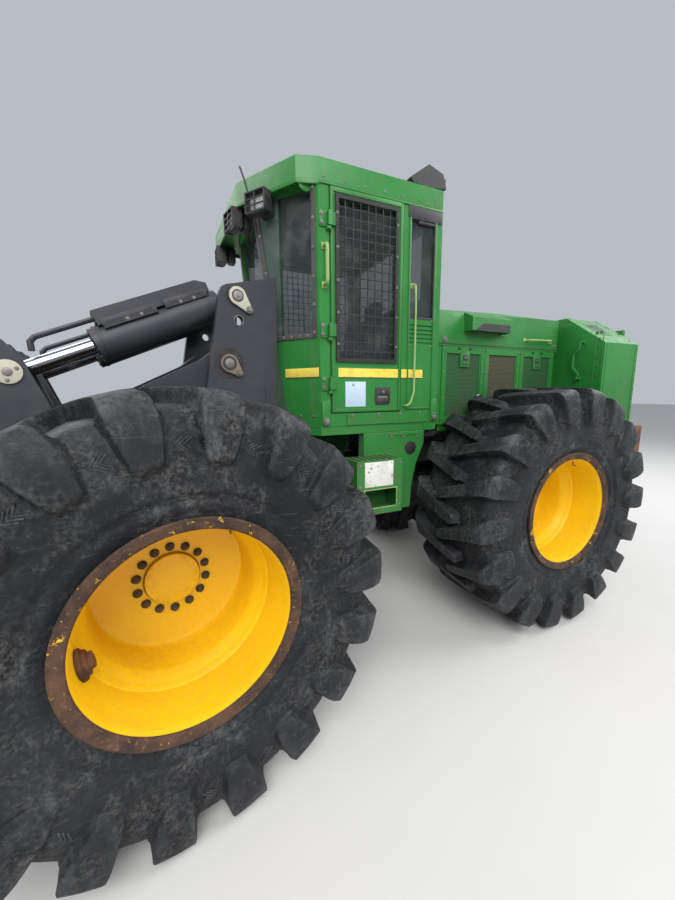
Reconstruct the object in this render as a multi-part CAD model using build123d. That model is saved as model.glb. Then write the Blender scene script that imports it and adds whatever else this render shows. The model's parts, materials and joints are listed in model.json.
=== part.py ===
"""Wheeled feller buncher: an articulated drive-to-tree machine with a disc-saw felling head.

Millimetres, +Z up. Both halves are drawn in their own frame, whose x is measured forward from the
articulation axis and whose z is measured from the ground. The front half is then turned by the
steering angle at which the machine is parked.
"""
from build123d import *
import os
from math import cos, degrees, hypot, pi, radians, sin

# Overall layout
ORIGIN_X = -626            # articulation axis, seen from the middle of the footprint box
ORIGIN_Y = -205
PARKED_STEER = 9.7         # degrees to the left
REAR_AXLE_X = -1100
FRONT_AXLE_X = 1820
AXLE_Z = 930
TRACK_HALF = 1098          # wheel centre plane from the centre line
RUN_GAP = 0.3              # bearing faces and pins in their bores
MOVE_GAP = 6               # moving pieces from their neighbours

# Wheels and tyres
TYRE_R = 930               # out to the lug tips
TYRE_W = 775
TREAD_DEPTH = 66
LUGS_PER_SIDE = 18
LUG_TOP_W = 112              # measured round the tread, as is the foot
LUG_ROOT_W = 158
LUG_SLANT = 17             # degrees of turn from shoulder to middle
LUG_CHAMFER = 36           # from the widest part in to the bars' top edge
LUG_REACH = 240            # from the lug tips down to the bars' ends on the sidewall
SHOULDER_IN = 62
WHEEL_SIDES = 30
SEAT_R = 406
FLANGE_R = 450
RIM_W = 686
RIM_WALL = 12
WELL_R = 364
DISC_OFFSET = -178         # wheel disc from the wheel centre plane
DISC_T = 18
COVER_R = 125
COVER_T = 24
HUB_R = 190
HUB_L = 180

# Axle housings
AXLE_TUBE_R = 120
AXLE_BOWL_R = 215
AXLE_BOWL_W = 330
PLANET_R = 205
PLANET_W = 110

# Articulation
PIN_R = 50
EAR_R = 115
EAR_T = 50
UPPER_EAR_Z = 1180         # underside of the upper ear
LOWER_EAR_Z = UPPER_EAR_Z - 430   # top of the lower ear
TONGUE_T = 65
TONGUE_HALF = 150
TONGUE_L = 420

# Rear frame
RAIL_Y = 370               # outer face of the side rails
RAIL_T = 40
BELLY_Y = 150              # outer face of the narrow part that carries the hinge ears
BELLY_X = -770
FRAME_REAR_X = -2520
FRAME_FRONT_X = -260
FRAME_TOP_Z = 1500
FRAME_LOW_Z = 760
ARCH_Z = 1190              # rail underside over the axle
ARCH_FRONT_X = -790
TRUNNION_T = 60
TRUNNION_R = 70

# Cab
CAB_HALF = 750
CAB_REAR_X = -365
CAB_CORNER_X = 640
CAB_FLOOR_Z = 1530
CAB_WALL_Z = 1590
CAB_EAVES_Z = 3160
CAB_FRONT_LOW_X = 800
CAB_FRONT_TOP_X = 960
CHAMFER_TOP_Y = 300
CAB_WALL = 45
GLASS_T = 8
ROOF_T = 140
ROOF_CROWN = 28
ROOF_SLOPE = 200           # width of the band that rises to the crown
VISOR_LEFT = (1060, 250)
VISOR_RIGHT = (1100, 30 - CAB_HALF)
VISOR_OUT = 135            # how far the roof overhangs the cab's corner

# Door and its window, along the left wall
DOOR_X = (-12, 558)
DOOR_Z = (1690, 3150)
DOOR_GAP = 6
DOOR_KNUCKLES = (1850, 2205, 2900)
WINDOW_X = (45, 510)
WINDOW_Z = (2058, 3092)
QUARTER_X = (-295, -85)
QUARTER_Z = (2390, 3095)
CORNER_GLASS = (45, 335)   # along the corner wall from its side edge
CORNER_GLASS_Z = (2225, 3138)
LOUVRE_Z = (2195, 2350)
LOUVRES = 5
LOUVRE_H = 15
SILL_X = (-262, 440)
SILL_T = 8
REAR_LAMP = ((-70, 3336), (-226, 3448), (-356, 3410), (-389, 3315), (-116, 3280))
REAR_LAMP_W = 135
HANDLE_X = 603
HANDLE_Z = (2537, 2778)
HANDLE_OUT = 58
LONG_ROD_X = -104
LONG_ROD_Z = (1728, 2608)
HINGE_R = 16
HINGE_PIN_R = 8
HINGE_L = 90
HINGE_OUT = 22             # hinge line from the door's outer face

# Bonnet, screens and the cooling box behind them
HOOD_HALF = 660
HOOD_X = (-1900, -430)
HOOD_Z = (2230, 2505)
HOOD_T = 20
HOOD_HINGE = (-418, 2462)
HOOD_KNUCKLE = (380, 460)
BEVEL_L = 612              # length of the bonnet's tapering edge bevel
BEVEL_DROP = 140
BEVEL_IN = 62
SCOOP_X = (-1150, -700)
SCOOP_OUT = 100
SCOOP_Z = (2330, 2440, 2490)
SCOOP_T = 12
SCREEN_Z = (1558, 2212)
SCREEN_T = 30
SCREEN_BAYS = ((-481, -958), (-958, -1401), (-1401, -1866))
BAY_FRAME = 42
LEDGE_T = 10
BOX_X = (-2506, -1986)
BOX_HALF = 1050
BOX_Z = (1500, 2531)
BOX_BEVEL_Y = 677
BOX_BEVEL_Z = 2263
BOX_WALL = 24
REAR_DOOR_T = 40
REAR_DOOR_HALF = BOX_HALF - 150
REAR_DOOR_Z = (1600, 2420)
GRILLE_HINGE = (-2532, -REAR_DOOR_HALF - 18)
GRILLE_KNUCKLES = (1700, 2220)
BUMPER_X = (-2950, -2520)
BUMPER_HALF = 950
BUMPER_Z = (1190, 1462)
TOW_X = -2890              # tow pin hole in the bumper
TOW_R = 21
TOW_SLOT_Z = (1285, 1370)
TOW_SLOT_HALF = 90
BOX_BAR = ((864, 2284), (856, 2225), (806, 2176), (804, 2052), (865, 1987), (849, 1946))
BOX_BAR_OUT = 48

# Side tanks, step and sill under the cab
TANK_X = (-252, 300)
TANK_W = 220
TANK_Y = (CAB_HALF - TANK_W, CAB_HALF)
TANK_Z = (905, 1530)
TANK_BACK = ((-128, 905), (-145, 1100), (-180, 1260), (-252, 1425))   # follows the tyre round
STEP_X = (90, 460)
STEP_Y = (CAB_HALF, CAB_HALF + 200)
STEP_Z = (968, 1360)
STEP_T = 14

# Tower, boom and cylinders, in the front half's own frame
TOWER_T = 45
TOWER_EYE = (1240, 2293)   # lifting hole through the tower plates
TOWER_EYE_R = 28
KEEPER_T = 12
BOOM_PIVOT = (1318, 2022)
BOOM_FRONT = (2250, 1420)
TILT_BASE = (1245, 2442)
TILT_EYE = (2390, 1940)
BOOM_PIN_R = 45
TILT_PIN_R = 38
ARM_Y = (268, 368)
TILT_Y = 285
TILT_OD = 185
TILT_ROD = 84
TILT_BARREL = 850          # from the base pin to the gland face
TILT_STEM = 880            # rod from its eye to the piston
TILT_GUARD = (130, 790)    # cover on top of the barrel, along it from the base pin
TILT_GUARD_H = 72
TILT_GUARD_W = 150
PIPE_R = 15
LIFT_BASE = (1235, 1010)
LIFT_EYE = (1950, 1560)
LIFT_Y = 180
LIFT_OD = 150
LIFT_ROD = 80
LIFT_BARREL = 790
LIFT_STEM = 728
EYE_W = 76
FRAME_Y = 430              # outer face of the front frame plates
SPINE_T = 36

# Steering cylinders
STEER_BASE = (-700, 380)
STEER_EYE = (350, 300)
STEER_Z = 960
STEER_OD = 96
STEER_PIN_R = 20
STEER_ROD = 50
STEER_BARREL = 640
STEER_STEM = 680           # rod from its eye to the piston

# Felling head
ADAPTER_Y = 445            # outer face of the outer plates
ADAPTER_T = 40
HEAD_X = 2860              # back of the head frame
HEAD_HALF = 470
HEAD_TOP_Z = 2360
SAW_X = HEAD_X + 700
SAW_Z = 118
HOUSING_R = 760
SAW_R = HOUSING_R - 60
SAW_T = 24
SAW_TEETH = 18
HOUSING_Z = (92, 332)
HOUSING_WALL = 22
MOUTH_X = 180              # housing opening starts ahead of the saw centre
ARM_PIVOT_X = HEAD_X + 220
ARM_PIVOT_Y = 560
ARM_PIN_R = 32
HARVEST_Z = 930
ACCUMULATE_Z = 1330
GRAB_T = 70
PIVOT_TUBE_R = 100


def block(x, y, z):
    """A box from its low and high limits on each axis."""
    size = (x[1] - x[0], y[1] - y[0], z[1] - z[0])
    middle = ((x[0] + x[1]) / 2, (y[0] + y[1]) / 2, (z[0] + z[1]) / 2)
    return Pos(*middle) * Box(*[abs(s) for s in size])


def side_plate(points, y0, y1, radius=0):
    """A plate cut to an (x, z) outline, standing between y0 and y1."""
    outline = Polyline(*[(x, z) for x, z in points], close=True)
    face = make_face(outline)
    if radius:
        face = fillet(face.vertices(), radius)
    return Pos(0, max(y0, y1), 0) * Rot(90, 0, 0) * extrude(face, abs(y1 - y0))


def flat_plate(points, z0, z1):
    """A plate cut to an (x, y) outline, lying between z0 and z1."""
    return Pos(0, 0, z0) * extrude(make_face(Polyline(*points, close=True)), z1 - z0)


def cross_plate(points, x0, x1):
    """A plate cut to a (y, z) outline, between x0 and x1."""
    face = Plane.YZ * make_face(Polyline(*points, close=True))
    return Pos(x0, 0, 0) * extrude(face, x1 - x0)


def rod(start, end, radius):
    """A round bar between two points."""
    a, b = Vector(*start), Vector(*end)
    along = b - a
    return Plane(origin=a, z_dir=along) * Cylinder(radius, along.length, align=(Align.CENTER,) * 2 + (Align.MIN,))


def cross_pin(x, z, y0, y1, radius):
    """A pin lying across the machine."""
    return rod((x, min(y0, y1), z), (x, max(y0, y1), z), radius)


def bent_bar(points, radius):
    """A bar of eight flats along a route, mitred where it turns."""
    path = Polyline(*points)
    section = Plane(origin=path @ 0, z_dir=path % 0) * RegularPolygon(radius, 8)
    return sweep(section, path, transition=Transition.RIGHT)


def sleeve(start, end, radius):
    """A hinge knuckle between two points, bored for its pin."""
    a, b = Vector(*start), Vector(*end)
    along = (b - a).normalized()
    return rod(start, end, radius) - rod(a - along, b + along, HINGE_PIN_R + RUN_GAP)


def both_sides(shape):
    """A shape and its mirror image in the machine's middle plane."""
    return Compound([shape, mirror(shape, Plane.XZ)])


def inset(points, wall):
    """A convex outline, given anticlockwise, moved inwards by a wall's thickness."""
    moved = []
    count = len(points)
    for i in range(count):
        (ax, ay), (bx, by), (cx, cy) = points[i - 1], points[i], points[(i + 1) % count]
        la, lb = hypot(bx - ax, by - ay), hypot(cx - bx, cy - by)
        na, nb = ((ay - by) / la, (bx - ax) / la), ((by - cy) / lb, (cx - bx) / lb)
        share = wall / (1 + na[0] * nb[0] + na[1] * nb[1])
        moved.append((bx + share * (na[0] + nb[0]), by + share * (na[1] + nb[1])))
    return moved


def between(low, high, low_z, high_z):
    """A straight-sided solid between two outlines with the same corners."""
    sections = []
    for outline, z in ((low, low_z), (high, high_z)):
        sections.append(make_face(Polyline(*[(x, y, z) for x, y in outline], close=True)))
    return loft(sections, ruled=True)


def faceted(sections):
    """A solid with flat faces, from closed rings of points that join end to end."""
    faces = []
    for i, ring in enumerate(sections):
        after = sections[(i + 1) % len(sections)]
        for j in range(len(ring)):
            k = (j + 1) % len(ring)
            faces.append(Face(Polyline(ring[j], ring[k], after[k], after[j], close=True)))
    return Solid(Shell(faces))


def wheel_point(radius, turn, offset):
    """A point of a wheel that turns about the Y axis."""
    return Vector(radius * cos(radians(turn)), offset, radius * sin(radians(turn)))


def wheel_ring(profile, sides):
    """A many-sided ring about the Y axis from a closed (radius, offset) profile."""
    return faceted([[wheel_point(r, 360 * i / sides, y) for r, y in profile] for i in range(sides)])


def prism(radius, y0, y1, sides):
    """A many-sided disc about the Y axis."""
    return Pos(0, y1, 0) * Rot(90, 0, 0) * extrude(RegularPolygon(radius, sides), y1 - y0)


def bar_ring(side, lead, root, top):
    """Points round the tyre, four to a tread bar: its foot, its two top edges and its other foot.

    root and top each give an offset, a radius and the bar's width there, measured round the tread.
    """
    points = []
    for i in range(LUGS_PER_SIDE):
        middle = (i if side > 0 else i + 0.5) * 360 / LUGS_PER_SIDE + lead
        for sign, (offset, radius, width) in ((-1, root), (-1, top), (1, top), (1, root)):
            points.append(wheel_point(radius, middle + sign * degrees(width / 2 / TYRE_R), side * offset))
    return points


def tyre():
    """A forestry tyre about the Y axis, drawn from ring to ring: bead, sidewall, shoulder and tread bars."""
    bead = RIM_W / 2 - RIM_WALL - RUN_GAP
    base, wide, end = TYRE_R - TREAD_DEPTH, TYRE_W / 2, TYRE_R - LUG_REACH
    seat = (SEAT_R + RUN_GAP) / cos(radians(120 / LUGS_PER_SIDE))
    foot, crest = LUG_ROOT_W, LUG_TOP_W
    # turn, then offset, radius and width of a bar at its foot, and the same on top of it
    rings = ((0, (bead, seat, foot), (bead, seat, crest)),
             (0, (bead, FLANGE_R + 6, foot), (bead, FLANGE_R + 6, crest)),
             (0, (wide, end, foot), (wide + 1.5, end + 50, crest)),
             (0.1 * LUG_SLANT, (wide - SHOULDER_IN, base, foot), (wide - LUG_CHAMFER, TYRE_R - 4, crest)),
             (LUG_SLANT, (0, base, foot - 24), (0, TYRE_R, crest - 20)))
    drawn = {side: [bar_ring(side, *ring) for ring in rings] for side in (1, -1)}
    triangles = []
    count = 4 * LUGS_PER_SIDE
    for side in (1, -1):
        rows, across = drawn[side], drawn[-side][-1]
        for row in range(len(rows) - 1):
            low, high = rows[row], rows[row + 1]
            for j in range(count):
                k = (j + 1) % count
                if row < len(rows) - 2 or j % 4 != 3:
                    triangles += [(low[j], low[k], high[k]), (low[j], high[k], high[j])]
                    continue
                facing = (k if side < 0 else k - 4) % count      # the other side's bar that ends in this gap
                start, stop = across[facing], across[facing + 3]
                triangles += [(low[j], high[j], start), (low[j], start, stop), (low[j], stop, low[k]), (low[k], stop, high[k])]
        for j in range(0, count, 4):
            foot_a, top_a, top_b, foot_b = rows[-1][j:j + 4]
            triangles += [(foot_a, top_a, top_b), (foot_a, top_b, foot_b)]
    left, right = drawn[1][0], drawn[-1][0]
    right = right[-2:] + right[:-2]      # so that facing points have nearly the same turn
    for j in range(count):
        k = (j + 1) % count
        triangles += [(left[j], left[k], right[k]), (left[j], right[k], right[j])]
    return Solid(Shell([Face(Polyline(*corners, close=True)) for corners in triangles]))


def rim():
    """A wheel rim with its drop centre, disc, hub and centre cover, about the Y axis, outside at +Y."""
    half = RIM_W / 2
    inner = SEAT_R - RIM_WALL
    well = WELL_R - RIM_WALL
    shoulder = 70
    back = DISC_OFFSET - DISC_T / 2
    profile = ((FLANGE_R, half), (FLANGE_R, half - RIM_WALL), (SEAT_R, half - RIM_WALL), (SEAT_R, shoulder),
               (WELL_R, shoulder - 48), (WELL_R, back - 20), (SEAT_R, back - 68), (SEAT_R, RIM_WALL - half),
               (FLANGE_R, RIM_WALL - half), (FLANGE_R, -half), (inner, -half), (inner, back - 72),
               (well, back - 20), (well, shoulder - 44), (inner, shoulder + 5), (inner, half))
    barrel = wheel_ring(profile, WHEEL_SIDES)
    disc = prism(WELL_R - 2, back, back + DISC_T, WHEEL_SIDES)
    cover = prism(COVER_R, back + DISC_T, back + DISC_T + COVER_T, 24)
    hub = prism(HUB_R, back - HUB_L, back, 24)
    return barrel.fuse(disc, cover, hub)


def axle(x):
    """A drive axle housing between the hubs."""
    hub_face = TRACK_HALF + DISC_OFFSET - DISC_T / 2 - HUB_L - RUN_GAP
    half = ((0, AXLE_BOWL_R), (AXLE_BOWL_W / 2, AXLE_BOWL_R), (AXLE_BOWL_W / 2 + 60, AXLE_TUBE_R),
            (hub_face - PLANET_W, AXLE_TUBE_R), (hub_face - PLANET_W, PLANET_R), (hub_face, PLANET_R), (hub_face, 0))
    outline = make_face(Polyline((0, 0), *half, close=True))
    shape = revolve(outline, Axis.X)
    right = Rot(0, 0, 90) * shape
    left = mirror(right, Plane.XZ)
    return Pos(x, 0, AXLE_Z) * (right + left)


def ear(z0, z1, toward, reach, half, radius):
    """A hinge plate with a round end on the articulation axis."""
    end = Pos(0, 0, z0) * Cylinder(radius, z1 - z0, align=(Align.CENTER, Align.CENTER, Align.MIN))
    points = ((0, -radius), (toward * reach, -half), (toward * reach, half), (0, radius))
    return end + flat_plate(points, z0, z1)


def rear_frame():
    """Side rails over the axle, the narrow part with the hinge ears and pins, and the bonnet's posts."""
    inner = RAIL_Y - RAIL_T
    arch_back = 2 * REAR_AXLE_X - ARCH_FRONT_X
    frame = block((FRAME_FRONT_X - 30, FRAME_FRONT_X), (-RAIL_Y, RAIL_Y), (ARCH_Z, FRAME_TOP_Z))
    frame += block((FRAME_FRONT_X - 30, FRAME_FRONT_X), (-BELLY_Y, BELLY_Y), (LOWER_EAR_Z - EAR_T, ARCH_Z))
    frame += block((FRAME_REAR_X, FRAME_REAR_X + 40), (-inner, inner), (ARCH_Z, FRAME_TOP_Z))
    frame += block((BELLY_X, FRAME_FRONT_X), (-RAIL_Y, RAIL_Y), (ARCH_Z, ARCH_Z + 24))
    frame += block((BELLY_X, FRAME_FRONT_X), (-BELLY_Y, BELLY_Y), (FRAME_LOW_Z, FRAME_LOW_Z + 20))
    frame += block((BELLY_X, BELLY_X + 24), (-BELLY_Y, BELLY_Y), (FRAME_LOW_Z, ARCH_Z))
    frame += ear(UPPER_EAR_Z, UPPER_EAR_Z + EAR_T, -1, -FRAME_FRONT_X, BELLY_Y, EAR_R)
    frame += ear(LOWER_EAR_Z - EAR_T, LOWER_EAR_Z, -1, -FRAME_FRONT_X, BELLY_Y, EAR_R)
    for low, high in ((UPPER_EAR_Z - TONGUE_T - 2 * MOVE_GAP, UPPER_EAR_Z + EAR_T + 22),
                      (LOWER_EAR_Z - EAR_T - 22, LOWER_EAR_Z + TONGUE_T + 2 * MOVE_GAP)):
        frame += rod((0, 0, low), (0, 0, high), PIN_R)
    for x0, toward in ((ARCH_FRONT_X - TRUNNION_T, -1), (arch_back, 1)):
        hanger = ((-inner, ARCH_Z + 60), (-inner, ARCH_Z - 60), (-130, AXLE_Z - 110), (130, AXLE_Z - 110),
                  (inner, ARCH_Z - 60), (inner, ARCH_Z + 60))
        frame += cross_plate(hanger, x0, x0 + TRUNNION_T)
        face = x0 if toward < 0 else x0 + TRUNNION_T
        frame += rod((face, 0, AXLE_Z), (REAR_AXLE_X - toward * (AXLE_BOWL_R + RUN_GAP), 0, AXLE_Z), TRUNNION_R)
    back = HOOD_X[1] + 28
    frame += block((back, back + 20), (-HOOD_HALF + 20, HOOD_HALF - 20), (FRAME_TOP_Z - 10, HOOD_Z[1] - 30))
    frame += block((FRAME_FRONT_X - 190, FRAME_FRONT_X), (-HOOD_HALF + 20, HOOD_HALF - 20), (FRAME_TOP_Z - 40, FRAME_TOP_Z))
    for side in (1, -1):
        frame += block((FRAME_REAR_X, FRAME_FRONT_X), (side * inner, side * RAIL_Y), (ARCH_Z, FRAME_TOP_Z))
        frame += block((BELLY_X, FRAME_FRONT_X), (side * (BELLY_Y - 30), side * BELLY_Y), (FRAME_LOW_Z, ARCH_Z))
        shelf = (FRAME_REAR_X + 20, FRAME_FRONT_X - 190)
        frame += block(shelf, (side * (RAIL_Y - 10), side * (HOOD_HALF - 42)), (FRAME_TOP_Z - 20, FRAME_TOP_Z))
        post = (HOOD_X[0] - 12, HOOD_X[0] + 28)
        frame += block(post, (side * (HOOD_HALF - 90), side * (HOOD_HALF - 42)), (FRAME_TOP_Z - 20, HOOD_Z[0] - 8))
        frame += eye_plates(STEER_BASE, BELLY_Y - 5, side)
        x, y = STEER_BASE[0], side * STEER_BASE[1]
        frame += rod((x, y, STEER_Z - EYE_W / 2 - MOVE_GAP - 5), (x, y, STEER_Z + EYE_W / 2 + MOVE_GAP + 5), STEER_PIN_R)
        x, z = HOOD_HINGE
        near = side * (HOOD_KNUCKLE[1] + MOVE_GAP)
        far = side * (HOOD_KNUCKLE[1] + MOVE_GAP + 18)
        frame += block((x - 5, back + 5), (near, far), (z - 14, z + 5))
        frame += cross_pin(x, z, side * (HOOD_KNUCKLE[0] + 8), far, HINGE_PIN_R)
    frame += block((CAB_REAR_X + 5, FRAME_FRONT_X - 2), (-CAB_HALF + 110, CAB_HALF - 110), (FRAME_TOP_Z - 5, CAB_FLOOR_Z))
    return frame


def eye_plates(place, root, side):
    """The pair of plates that a steering cylinder's eye turns between."""
    x, y = place
    outline = [(x - 70, root), (x + 70, root), (x + 38, y + 45), (x - 38, y + 45)]
    lower, upper = STEER_Z - EYE_W / 2 - MOVE_GAP, STEER_Z + EYE_W / 2 + MOVE_GAP
    plan = [(px, side * py) for px, py in outline]
    return Compound([flat_plate(plan, upper, upper + 22), flat_plate(plan, lower - 22, lower)])


def build_rear():
    """Every piece that stays on the rear half."""
    parts = {"rear_frame": rear_frame()}
    housing = axle(REAR_AXLE_X)
    parts["rear_axle"] = housing
    parts["engine_block"] = block((-1620, -560), (-320, 320), (ARCH_Z + 60, 2120))
    parts.update(engine_covers())
    parts.update(cab())
    return parts


def engine_covers():
    """Side screens, cooling box and bumper."""
    screens = None
    outer = HOOD_HALF
    for side in (1, -1):
        panel = None
        for bay in SCREEN_BAYS:
            back, front = bay[1], bay[0]
            sheet = block((back + 2, front - 2), (side * (outer - SCREEN_T), side * outer), SCREEN_Z)
            window = block((back + BAY_FRAME, front - BAY_FRAME), (side * (outer - 12), side * (outer + 5)),
                           (SCREEN_Z[0] + 70, SCREEN_Z[1] - 60))
            sheet -= window
            panel = sheet if panel is None else panel + sheet
        panel += block((SCREEN_BAYS[-1][1], SCREEN_BAYS[0][0]), (side * (outer - SCREEN_T), side * (outer - SCREEN_T + 12)),
                       SCREEN_Z)
        panel += block((HOOD_X[0], HOOD_X[1] + 14), (side * (outer - 40), side * (outer + 4)), (SCREEN_Z[1], SCREEN_Z[1] + LEDGE_T))
        panel += block((SCREEN_BAYS[0][0], HOOD_X[1] + 14), (side * (outer - SCREEN_T), side * (outer - 6)), SCREEN_Z)
        foot = (side * (outer - SCREEN_T - 12), side * (outer - SCREEN_T + 5))
        panel += block((SCREEN_BAYS[-1][1], SCREEN_BAYS[0][0]), foot, (FRAME_TOP_Z, SCREEN_Z[0] + 10))
        screens = panel if screens is None else Compound([screens, panel])
    bevelled = ((-BOX_HALF, BOX_Z[0]), (BOX_HALF, BOX_Z[0]), (BOX_HALF, BOX_BEVEL_Z), (BOX_BEVEL_Y, BOX_Z[1]),
                (-BOX_BEVEL_Y, BOX_Z[1]), (-BOX_HALF, BOX_BEVEL_Z))
    casing = cross_plate(bevelled, BOX_X[0], BOX_X[1])
    hollow = ((-BOX_HALF + 60, BOX_Z[0] + 60), (BOX_HALF - 60, BOX_Z[0] + 60), (BOX_HALF - 60, BOX_BEVEL_Z - 40),
              (BOX_BEVEL_Y - 20, BOX_Z[1] - 60), (-BOX_BEVEL_Y + 20, BOX_Z[1] - 60), (-BOX_HALF + 60, BOX_BEVEL_Z - 40))
    casing -= cross_plate(hollow, BOX_X[0] + BOX_WALL, BOX_X[1] - BOX_WALL)
    casing -= block((BOX_X[0] - 1, BOX_X[0] + BOX_WALL + 1), (-REAR_DOOR_HALF + 40, REAR_DOOR_HALF - 40),
                    (REAR_DOOR_Z[0] + 40, REAR_DOOR_Z[1] - 80))
    x, y = GRILLE_HINGE
    for z0 in GRILLE_KNUCKLES:
        casing += block((x - 12, BOX_X[0] + 2), (y - 10, y + 10), (z0 - MOVE_GAP - 18, z0 - MOVE_GAP))
        casing += rod((x, y, z0 - MOVE_GAP - 18), (x, y, z0 + HINGE_L - 6), HINGE_PIN_R)
    core = block((BOX_X[1] - 260, BOX_X[1] - BOX_WALL), (-760, 760), (BOX_Z[0] + 60, 2350))
    bumper = block(BUMPER_X, (-BUMPER_HALF, BUMPER_HALF), BUMPER_Z)
    bumper -= block((BUMPER_X[0] - 1, TOW_X + 70), (-TOW_SLOT_HALF, TOW_SLOT_HALF), TOW_SLOT_Z)
    bumper -= rod((TOW_X, 0, BUMPER_Z[0] - 1), (TOW_X, 0, BUMPER_Z[1] + 1), TOW_R)
    face = BOX_X[1]
    ends = [(BOX_BAR[0], face - 1), (BOX_BAR[0], face + BOX_BAR_OUT)] + [(p, face + BOX_BAR_OUT) for p in BOX_BAR[1:-1]]
    ends += [(BOX_BAR[-1], face + BOX_BAR_OUT), (BOX_BAR[-1], face - 1)]
    casing += bent_bar([(x, y, z) for (y, z), x in ends], 11)
    return {"side_screens": screens, "radiator_box": casing, "radiator_core": core, "rear_bumper": bumper}


def cab_outline(front_x):
    """The cab's plan for a given place of its front wall."""
    run = (CAB_FRONT_TOP_X - CAB_CORNER_X) / (CAB_HALF - CHAMFER_TOP_Y)
    front_y = CAB_HALF - (front_x - CAB_CORNER_X) / run
    return [(CAB_REAR_X, -CAB_HALF), (CAB_CORNER_X, -CAB_HALF), (front_x, -front_y), (front_x, front_y),
            (CAB_CORNER_X, CAB_HALF), (CAB_REAR_X, CAB_HALF)]


def roof_outline():
    """The roof's plan, which overhangs the front and the left corner."""
    return [(CAB_REAR_X, -CAB_HALF - 5), (CAB_CORNER_X + VISOR_OUT, -CAB_HALF - 5), VISOR_RIGHT, VISOR_LEFT,
            (CAB_CORNER_X + VISOR_OUT, CAB_HALF - 40), (CAB_CORNER_X - 10, CAB_HALF + 5), (CAB_REAR_X, CAB_HALF + 5)]


def corner_pane(start, end, out, inward, z, side):
    """An upright slab on the cab's corner wall, between two distances along it from the side wall."""
    run = Vector(CAB_FRONT_TOP_X - CAB_CORNER_X, CHAMFER_TOP_Y - CAB_HALF, 0).normalized()
    away = Vector(-run.Y, run.X, 0)
    corner = Vector(CAB_CORNER_X, CAB_HALF, 0)
    plan = [corner + run * s + away * d for s, d in ((start, out), (end, out), (end, -inward), (start, -inward))]
    return flat_plate([(p.X, side * p.Y) for p in plan], *z)


def front_plane():
    """A plane on the leaning front wall, its z pointing out and its y up the wall."""
    up = Vector(CAB_FRONT_TOP_X - CAB_FRONT_LOW_X, 0, CAB_EAVES_Z - CAB_WALL_Z).normalized()
    out = Vector(up.Z, 0, -up.X)
    return Plane(origin=(CAB_FRONT_LOW_X, 0, CAB_WALL_Z), x_dir=(0, 1, 0), z_dir=out)


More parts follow.
